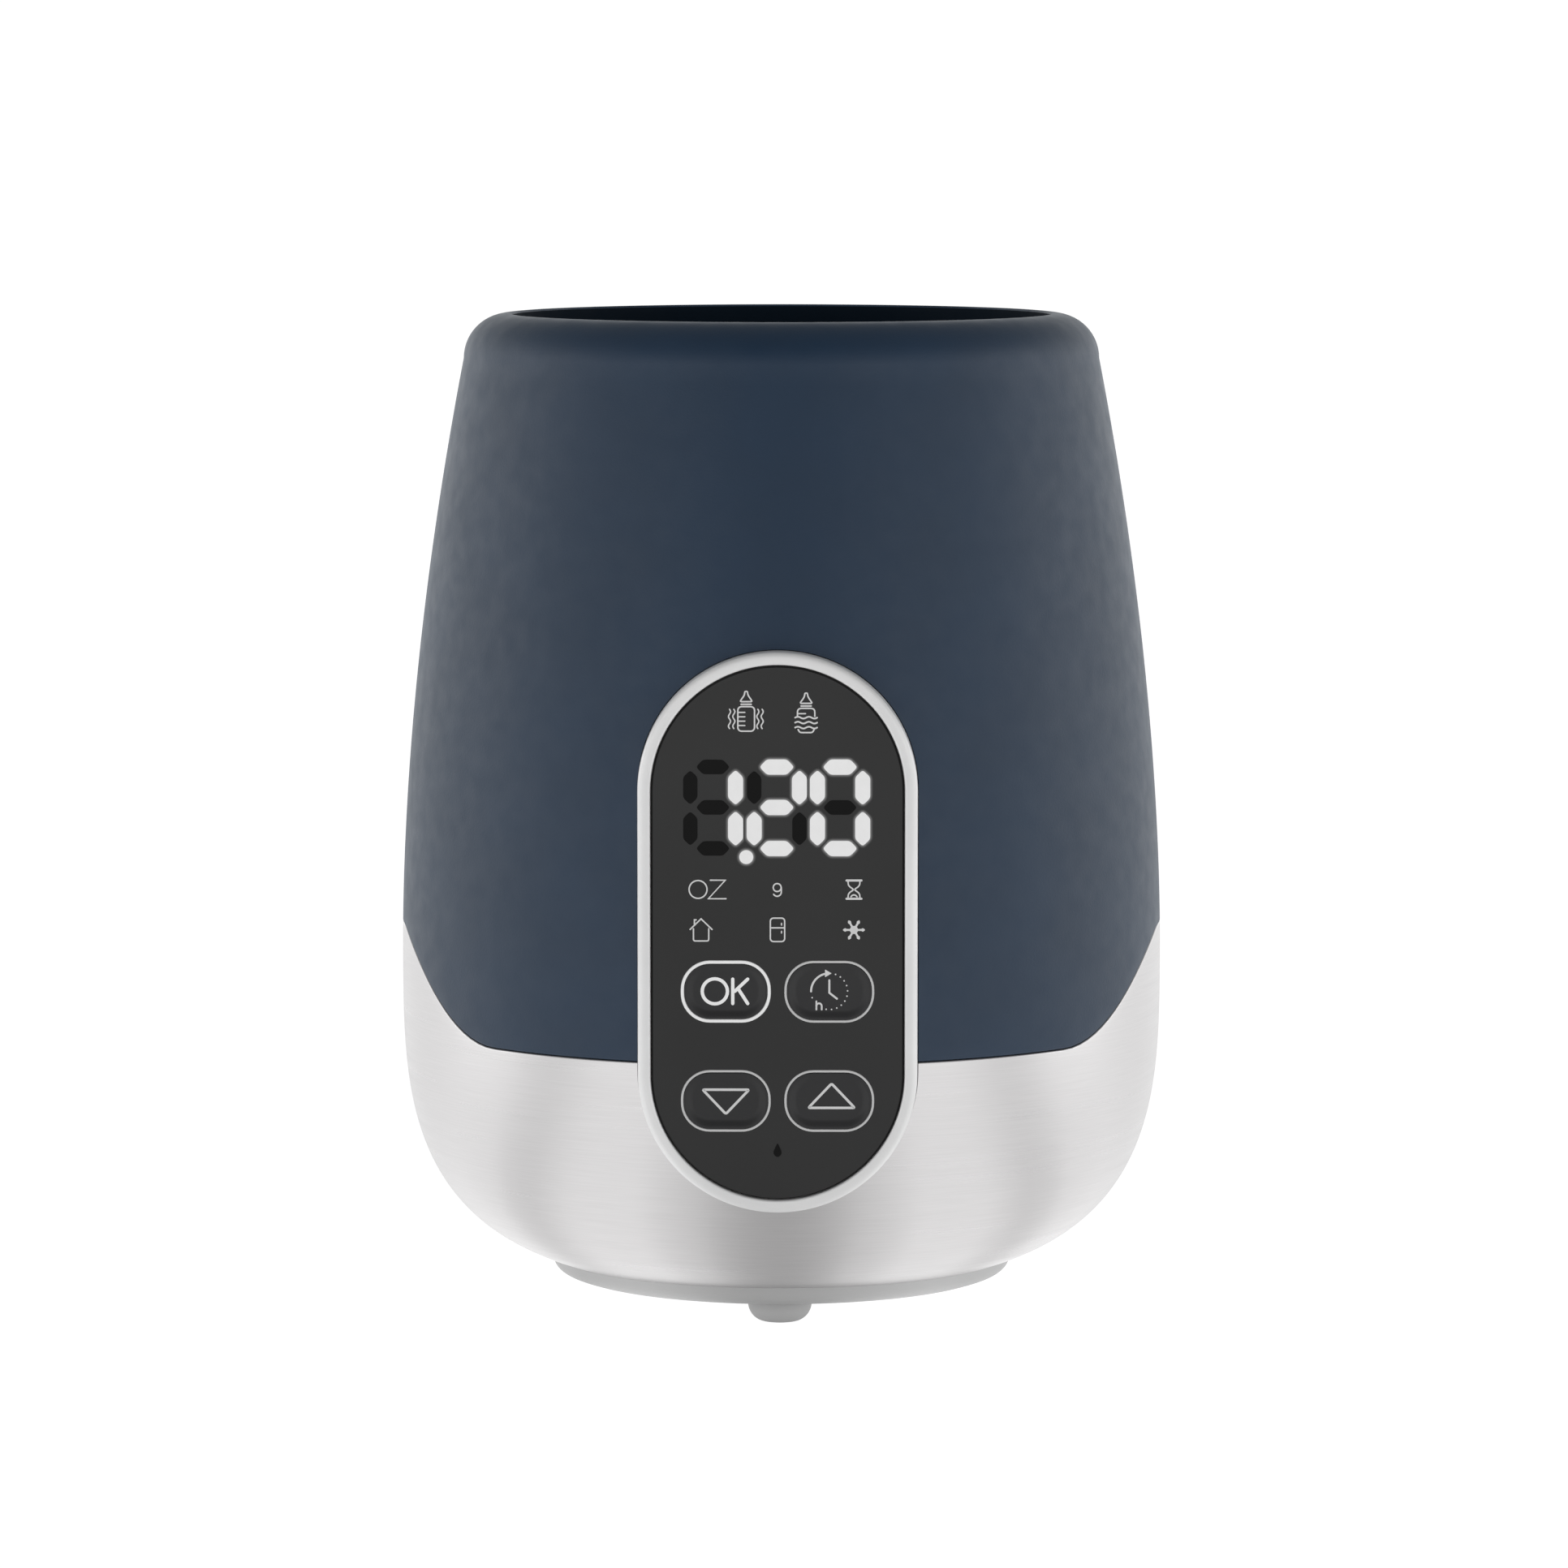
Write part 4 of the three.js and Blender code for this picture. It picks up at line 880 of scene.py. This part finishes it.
def make_fascia():
    """The dark sheet, with a step at its back that closes the gap between it and the bezel."""
    step_front, step_start, step_end = 1.15, BEZEL_WALL + 0.04, BEZEL_WALL + 1
    outlines = [stadium(BEZEL_WALL + FASCIA_GAP)]
    outlines += [key_outline(name, KEY_TRAVEL_ROOM) for name in KEYS]
    sheet = Solid().plate(outlines, FASCIA_Y, FASCIA_THICKNESS)
    step = [
        (step_start, step_front), (step_start, FASCIA_THICKNESS),
        (step_end, FASCIA_THICKNESS), (step_end, step_front),
    ]
    sheet.ring_loft([at_depth(stadium(inset), FASCIA_Y + depth) for inset, depth in step])
    finish_piece(object_of("fascia_sheet", sheet), "fascia", ["panel_fascia"])


def make_light_guide():
    """The line of light round each key, and the clear plate behind the fascia that feeds them."""
    proud, edge = 0.02, 0.12
    plate_width, plate_height, plate_corner, plate_thickness = 31, 29, 3, 0.95
    plate_front = FASCIA_Y + FASCIA_THICKNESS + 0.3
    line_depth = plate_front - FASCIA_Y - 0.05
    groups = {"lit_key_ring": (("ok",), LIT), "key_rings": (("timer", "down", "up"), None)}
    for title, (names, paint) in groups.items():
        lines = Solid()
        for name in names:
            width = ring_line(name)
            corners = [(0, -proud, edge), (width, -proud, edge), (width, line_depth, 0), (0, line_depth, 0)]
            rings = []
            for inset, depth in filleted(corners):
                rings.append(at_depth(key_outline(name, -inset, 12), FASCIA_Y + depth))
            lines.ring_loft(rings)
        finish_piece(object_of(title, lines), "light_guide", material=paint)
    middle = (key_centre("ok")[1] + key_centre("down")[1]) / 2
    holes = [key_outline(name, -ring_line(name)) for name in KEYS]
    outline = rounded_rectangle(plate_width, plate_height, plate_corner, 0, middle)
    plate = Solid().plate([outline, *holes], plate_front, plate_thickness)
    finish_piece(object_of("light_plate", plate), "light_guide", ["light_guide"])


def dish(name):
    """How far back the key's face lies at (x, z): it sinks from its edge inwards."""
    cx, cz = key_centre(name)
    radius = KEY_RING_RADIUS - ring_line(name) - KEY_TRAVEL_ROOM

    def depth(x, z):
        dx = max(abs(x - cx) - (KEY_RING_WIDTH / 2 - KEY_RING_RADIUS), 0)
        dz = max(abs(z - cz) - (KEY_RING_HEIGHT / 2 - KEY_RING_RADIUS), 0)
        inset = radius - math.hypot(dx, dz)
        return FASCIA_Y + DISH_DEPTH * smoothstep(inset, 0.1, DISH_RIM)

    return depth


def make_key(name):
    """A key: its dished face inside the line of light, a flange behind the fascia and a stem."""
    inner = -(ring_line(name) + KEY_TRAVEL_ROOM)
    face = dish(name)
    flange_front = FASCIA_Y + FASCIA_THICKNESS + 0.6 + 1.0
    flange_back = flange_front + 0.8
    flange_grow, stem_width = 0.45, 3.2
    stem_end = box_mm("key_" + name)[1].y
    dish_shares = (1.1, 0.95, 0.85, 0.75, 0.65, 0.55, 0.45, 0.35, 0.25, 0.15)
    rings = []
    for inset in (2.4, *[DISH_RIM * share for share in dish_shares]):
        outline = key_outline(name, inner - inset)
        rings.append([(x, face(x, z), z) for x, z in outline])
    for inset, depth in ((0.14, 0.01), (0.05, 0.05), (0, 0.14)):
        rings.append(at_depth(key_outline(name, inner - inset), FASCIA_Y + depth))
    rings.append(at_depth(key_outline(name, inner), flange_front))
    for depth in (flange_front, flange_back):
        rings.append(at_depth(key_outline(name, flange_grow), depth))
    stem = rounded_rectangle(stem_width, stem_width, stem_width / 2, *key_centre(name), 10)
    for depth in (flange_back, stem_end):
        rings.append(at_depth(stem, depth))
    key = object_of("key_cap_" + name, Solid().loft(rings))
    finish_piece(key, "key_cap", ["key_" + name], body="key_" + name)


# ---- Marks on the panel ----

PRINT_HEIGHT = 0.03
PRINT_STEP = 0.002  # each mark stands this much prouder than the one before, so none coincide
LINE = 0.21
GLOW_WIDTH = 0.5
GLOW_HEIGHT, GLOW_STEP = 0.004, 0.0005
GLOW_ROOT = 0.02  # how far the bands of glow reach into the sheet


def fascia_front(x, z):
    return FASCIA_Y


def print_marks(name, shapes, material, slot, body="housing", surface=fascia_front):
    """Thin raised ink: each shape is a band between two rails."""
    solid = Solid()
    for i, (rails, closed) in enumerate(shapes):
        height = PRINT_HEIGHT + PRINT_STEP * i
        solid.ribbon(rails, closed, lambda x, z: surface(x, z) - height, height)
    finish_piece(object_of(name, solid), slot, body=body, material=material)


def glow(name, shapes):
    """Light that spills from lit marks onto the sheet round them: flat bands, fading outwards."""
    solid = Solid()
    strengths = []
    reaches = spread(0, GLOW_WIDTH, 4)
    for i, (rails, closed) in enumerate(shapes):
        front = FASCIA_Y - GLOW_HEIGHT - GLOW_STEP * i
        for loop in edges(rails, closed):
            path = [Vector(p) for p in loop]
            ways_out = []
            for before, after in zip(path[-1:] + path[:-1], path[1:] + path[:1]):
                along = (after - before).normalized()
                ways_out.append(Vector((along.y, -along.x)))
            rings = []
            for depth, order in ((front, reaches), (FASCIA_Y + GLOW_ROOT, reaches[::-1])):
                for reach in order:
                    rings.append(at_depth([here + out * reach for here, out in zip(path, ways_out)], depth))
                    strengths += [(1 - reach / GLOW_WIDTH) ** 2] * len(path)
            solid.ring_loft(rings)
    obj = object_of(name, solid, weld=False)
    fade = obj.data.attributes.new("glow", "FLOAT", "POINT")
    fade.data.foreach_set("value", strengths)
    finish_piece(obj, "fascia", material=GLOW)


# Every mark is drawn about its own origin, as bands between rails, and then put in its place.


def lines(width, *paths):
    return [stroke(path, width) for path in paths]


def placed(shapes, x, z):
    moved_shapes = []
    for rails, closed in shapes:
        moved_shapes.append(([[(px + x, pz + z) for px, pz in rail] for rail in rails], closed))
    return moved_shapes


def mirrored(corners):
    """Corners left of the middle, then their mirror images on the way back."""
    return [*corners, *[(-x, z, fillet) for x, z, fillet in reversed(corners)]]


def segment(length, width, upright):
    """One bar of a digit: a hexagon with rounded corners."""
    half, side = length / 2, width / 2
    flat = half - side * 0.95
    corners = [(half, 0), (flat, side), (-flat, side), (-half, 0), (-flat, -side), (flat, -side)]
    if upright:
        corners = [(-b, a) for a, b in corners]
    return filled(filleted([(a, b, 0.42) for a, b in corners], steps=3))


DIGIT_CENTRES = (-9.7, -0.1, 9.4)
DIGITS_LIT = ("bc", "abged", "abcdef")
DIGIT_HALF_WIDTH = 3.4
UPPER_Z, LOWER_Z = 86.8, 80.6
BAR_Z = {"a": 89.9, "g": 83.8, "d": 77.6}
FLAT_BAR = (5.2, 2.3)
UPRIGHT_BAR = (5.3, 2.25)
POINT_X, POINT_Z, POINT_RADIUS = -4.7, 76.3, 1.05


def digit_segments(lit_ones):
    shapes = []
    shrink = 0 if lit_ones else 0.1
    for centre, lit_bars in zip(DIGIT_CENTRES, DIGITS_LIT):
        for bar in "abcdefg":
            if (bar in lit_bars) != lit_ones:
                continue
            upright = bar not in BAR_Z
            length, width = UPRIGHT_BAR if upright else FLAT_BAR
            x, z = centre, BAR_Z.get(bar)
            if upright:
                x += DIGIT_HALF_WIDTH if bar in "bc" else -DIGIT_HALF_WIDTH
                z = UPPER_Z if bar in "bf" else LOWER_Z
            shapes += placed([segment(length - shrink, width - shrink, upright)], x, z)
    return shapes


def wave(start, end, amplitude, waves=2):
    """A wavy line between two points."""
    along = Vector(end) - Vector(start)
    across = Vector((-along.y, along.x)).normalized()
    line = []
    for t in spread(0, 1, 8 * waves):
        line.append(tuple(Vector(start) + along * t + across * amplitude * math.sin(TURN * waves * t)))
    return line


def teat(shoulder):
    """The collar and teat on top of a bottle."""
    collar = stroke([(-0.75, shoulder + 0.35), (0.75, shoulder + 0.35)], 0.24)
    outline = filleted(mirrored([
        (-0.95, shoulder + 0.75, 0.3), (-0.25, shoulder + 1.75, 0.35), (-0.2, shoulder + 2.3, 0.2),
    ]))
    return [collar, stroke(outline, 0.22, closed=True)]


def shaken_bottle():
    body = rounded_rectangle(2.5, 3.7, 0.55, 0, 1.85, 4)
    scale = [[(-1.1, 0.85 + 0.66 * i), (-0.2, 0.85 + 0.66 * i)] for i in range(4)]
    shakes = [wave((x, 0.4), (x, 3.3), 0.16) for x in (-2.5, -1.85, 1.75, 2.4)]
    return [stroke(body, 0.22, closed=True), *teat(3.7), *lines(0.2, *scale, *shakes)]


def bath_bottle():
    body = filleted(mirrored([(-1.3, 2.45, 0), (-1.3, 3.65, 0.6)]), closed=False)
    foot = filleted(mirrored([(-1.2, 0.45, 0), (-0.95, 0, 0.3)]), closed=False)
    shapes = [*lines(0.22, body, foot), *teat(3.65), *lines(0.2, [(-1.1, 2.85), (-0.1, 2.85)])]
    water = [wave((-1.65, level), (1.65, level), 0.14) for level in (0.75, 1.5, 2.25)]
    return shapes + lines(0.24, *water)


def hourglass():
    shapes = lines(0.32, *[[(-1.12, z), (1.12, z)] for z in (-1.38, 1.38)])
    for side in (-1, 1):
        corners = [(0.9, 1.3, 0), (0.85, 0.55, 0.5), (0, 0, 0.3), (0.85, -0.55, 0.5), (0.9, -1.3, 0)]
        glass = filleted([(side * x, z, fillet) for x, z, fillet in corners], closed=False, steps=5)
        middle = len(glass) // 2
        shapes += lines(LINE, glass[:middle], glass[middle:])
    return shapes + lines(LINE, arc(0, -1.3, 0.5, 25, 155, 8))


def house():
    walls = filleted(mirrored([(-1.15, 0.15, 0), (-1.15, -1.7, 0.3)]), closed=False)
    roof = [(-1.65, 0.05), (0, 1.65), (1.65, 0.05)]
    chimney = [(-1.0, 0.85), (-1.0, 1.5), (-0.75, 1.5)]
    return lines(LINE, walls, roof, chimney)


def fridge():
    body = stroke(rounded_rectangle(2.15, 3.55, 0.45, steps=4), LINE, closed=True)
    handles = [[(0.6, z + 0.12), (0.6, z - 0.12)] for z in (0.85, -0.35)]
    return [body, *lines(LINE, [(-1.0, 0.3), (1.0, 0.3)]), *lines(0.2, *handles)]


def snowflake():
    shapes = [dot(0, 0, 0.62, 16)]
    for i in range(6):
        across, up = math.cos(TURN * i / 6), math.sin(TURN * i / 6)
        shapes.append(stroke([(0, 0), (1.5 * across, 1.5 * up)], 0.3))
        shapes.append(dot(1.32 * across, 1.32 * up, 0.26, 8))
    return shapes


def ounces():
    ring = stroke(circle(-1.55, 0, 1.35), LINE, closed=True)
    return [ring, *lines(LINE, [(0.3, 1.4), (2.55, 1.4), (0, -1.4), (2.65, -1.4)])]


def grams():
    bowl = stroke(circle(-0.05, 0.3, 0.6, 24), LINE, closed=True)
    return [bowl, stroke([(0.57, 0.3), *arc(-0.05, -0.4, 0.62, 0, -150, 10)], LINE)]


def drop():
    corners = [(0, 1.25, 0.3), (-0.75, -0.35, 0.6), (0, -1.1, 0.7), (0.75, -0.35, 0.6)]
    return [filled(filleted(corners, steps=5))]


def ok_word():
    ring = stroke(circle(-1.65, 0, 1.9), 0.5, closed=True)
    bars = (((1.05, -1.85), (1.05, 1.85)), ((1.35, 0), (3.3, 1.85)), ((1.9, 0.35), (3.3, -1.85)))
    return [ring, *lines(0.5, *bars)]


def timer_face():
    radius = 2.75
    shapes = [stroke(arc(0, 0, radius, 180, 100, 14), 0.3)]
    head = [(-0.65, radius + 0.6, 0.1), (-0.65, radius - 0.6, 0.1), (0.35, radius, 0.1)]
    shapes.append(filled(filleted(head, steps=3)))
    for degrees in (*range(70, -115, -17), 200):
        angle = math.radians(degrees)
        shapes.append(dot(radius * math.cos(angle), radius * math.sin(angle), 0.12, 10))
    shapes += lines(0.3, [(0, 1.7), (0, -0.2), (1.15, -1.1)])
    letter = [(-1.95, -2.2), *arc(-1.55, -2.2, 0.4, 150, 0, 6), (-1.15, -2.75)]
    return shapes + lines(0.26, [(-1.95, -1.5), (-1.95, -2.75)], letter)


def triangle(up):
    half, rise, middle = 3.5, 1.85 * up, 0.15 + 0.35 * up
    corners = [(-half, middle - rise, 0.3), (half, middle - rise, 0.3), (0, middle + rise, 0.3)]
    return [stroke(filleted(corners, steps=3), 0.38, closed=True)]


ICONS = (
    (shaken_bottle, -4.7, 95.3),
    (bath_bottle, 4.3, 95.1),
    (ounces, -10.4, 71.4),
    (grams, 0, 71.4),
    (hourglass, 11.5, 71.4),
    (house, -11.5, 65.3),
    (fridge, 0, 65.3),
    (snowflake, 11.5, 65.3),
)


def make_marks():
    lit_shapes = [*digit_segments(True), dot(POINT_X, POINT_Z, POINT_RADIUS)]
    print_marks("lit_digits", lit_shapes, LIT, "light_guide")
    glow("digit_glow", lit_shapes)
    print_marks("unlit_digits", digit_segments(False) + placed(drop(), 0, 31.7), UNLIT, "fascia")
    icons = []
    for icon, x, z in ICONS:
        icons += placed(icon(), x, z)
    print_marks("panel_symbols", icons, PRINT, "fascia")
    up_mark = placed(triangle(1), 0.35, 0.25)
    marks = {"ok": ok_word(), "timer": timer_face(), "down": triangle(-1), "up": up_mark}
    for name, shapes in marks.items():
        shapes = placed(shapes, *key_centre(name))
        paint = LIT if name == "ok" else PRINT
        print_marks("mark_" + name, shapes, paint, "light_guide", body="key_" + name, surface=dish(name))


# ---- Studio ----

# How bright the room is by heading, from behind the camera (0) round to behind the warmer (1).
ROOM_LEVELS = (
    (0.0, 0.42), (0.025, 0.72), (0.08, 1.0), (0.18, 1.0), (0.28, 0.76), (0.36, 0.82),
    (0.42, 0.98), (0.6, 1.0), (0.8, 0.88), (1.0, 0.82),
)
ROOM_STRENGTH = 1.55
CEILING_STRENGTH = 0.25
CEILING_START, CEILING_END = 0.0, 0.65  # upward share of a direction where the room's light falls off
FLOOR_STRENGTH = 1.0
BACKDROP_STRENGTH = 1.04  # what the camera itself sees behind the warmer is plain white
FLOOR_SEEN = 0.92  # how strongly the floor glows to the camera itself
FLOOR_Z = -0.02
FLOOR_RADIUS = 3000
CAMERA_PLACE = (0.0115, -1.150, 0.194)  # metres, as are the lights' places
CAMERA_AIM = (0.0004, 0, 0.0815)
LIGHTS_AIM = (0, 0, 0.08)


def aim(obj, place, target):
    obj.location = place
    obj.rotation_euler = (Vector(target) - obj.location).to_track_quat("-Z", "Y").to_euler()


def make_camera():
    camera = add_object("camera", bpy.data.cameras.new("camera"))
    aim(camera, CAMERA_PLACE, CAMERA_AIM)
    camera.data.lens = 167.5
    camera.data.sensor_width = 36
    camera.data.clip_start = 0.01
    bpy.context.scene.camera = camera


def area_light(name, place, size, power, mirrored=True):
    light = add_object(name, bpy.data.lights.new(name, "AREA"))
    aim(light, place, LIGHTS_AIM)
    light.data.shape = "RECTANGLE"
    light.data.size, light.data.size_y = size
    light.data.energy = power
    light.visible_glossy = mirrored


def room_level(nodes, place):
    """How bright the room is towards a place: ROOM_LEVELS by its heading from the warmer."""
    level = nodes.node("ShaderNodeVectorMath", {0: place, 1: (1, 1, 0)}, operation="MULTIPLY")
    heading = nodes.node("ShaderNodeVectorMath", {0: level.outputs[0]}, operation="NORMALIZE")
    flat = nodes.node("ShaderNodeSeparateXYZ", {"Vector": heading.outputs[0]})
    ramp = nodes.node("ShaderNodeValToRGB", {"Fac": nodes.ranged(flat.outputs["Y"], -1, 1, 0, 1)})
    stops = ramp.color_ramp.elements
    for position, _ in ROOM_LEVELS[1:-1]:
        stops.new(position)
    for stop, (_, brightness) in zip(stops, ROOM_LEVELS):
        stop.color = (brightness, brightness, brightness, 1)
    return ramp.outputs["Color"]


def make_world():
    """A white room, dim behind the camera and overhead, so the sides are lighter than the front."""
    world = bpy.data.worlds.new("studio")
    bpy.context.scene.world = world
    world.use_nodes = True
    nodes = Nodes(world.node_tree)
    background = nodes.tree.nodes["Background"]
    place = nodes.node("ShaderNodeTexCoord").outputs["Generated"]
    height = nodes.node("ShaderNodeSeparateXYZ", {"Vector": place}).outputs["Z"]
    spans = (CEILING_START, CEILING_END, ROOM_STRENGTH, CEILING_STRENGTH)
    strength = nodes.ranged(height, *spans, interpolation_type="SMOOTHSTEP")
    nodes.feed(background, {"Color": room_level(nodes, place), "Strength": strength})
    backdrop = nodes.node("ShaderNodeBackground", {"Color": (1, 1, 1, 1), "Strength": BACKDROP_STRENGTH})
    to_camera = nodes.node("ShaderNodeLightPath").outputs["Is Camera Ray"]
    inputs = {0: to_camera, 1: background.outputs[0], 2: backdrop.outputs[0]}
    seen = nodes.node("ShaderNodeMixShader", inputs)
    nodes.feed(nodes.tree.nodes["World Output"], {"Surface": seen.outputs[0]})


def make_floor():
    """A pale floor that shows white, with a faint shadow under the warmer."""
    outline = [(x, y, FLOOR_Z) for x, y in circle(0, 0, FLOOR_RADIUS, 64)]
    floor = object_of("floor", Solid().add(outline, [tuple(range(len(outline)))]))
    paint = Paint("floor_white", (0.3, 0.3, 0.3), 0.9, Specular_IOR_Level=0.1)
    paint.mottled(paint.noise(scale=8), amount=0.005)
    to_camera = paint.node("ShaderNodeLightPath").outputs["Is Camera Ray"]
    level = paint.scaled(room_level(paint, paint.place), FLOOR_STRENGTH)
    paint.glows(paint.node("ShaderNodeMix", {0: to_camera, 2: level, 3: FLOOR_SEEN}).outputs[0])
    floor.data.materials.append(paint.material)


make_camera()
make_world()
make_floor()
area_light("left_softbox", (-1.5, 0.2, 0.35), (0.8, 1.0), power=1.2)
area_light("right_softbox", (1.5, 0.2, 0.35), (0.8, 1.0), power=1.2)
area_light("front_softbox", (0, -2.2, 0.6), (1.2, 1.0), power=4, mirrored=False)
bpy.context.scene.view_settings.view_transform = "Standard"

paint_cad_nodes()
make_upper_shell()
make_steel_cup()
make_base()
for side in FEET:
    make_foot(side)
for i in BASE_SCREWS:
    make_base_screw(i)
make_gland()
make_chamber()
make_basket()
make_bezel()
make_fascia()
make_light_guide()
for name in KEYS:
    make_key(name)
make_marks()
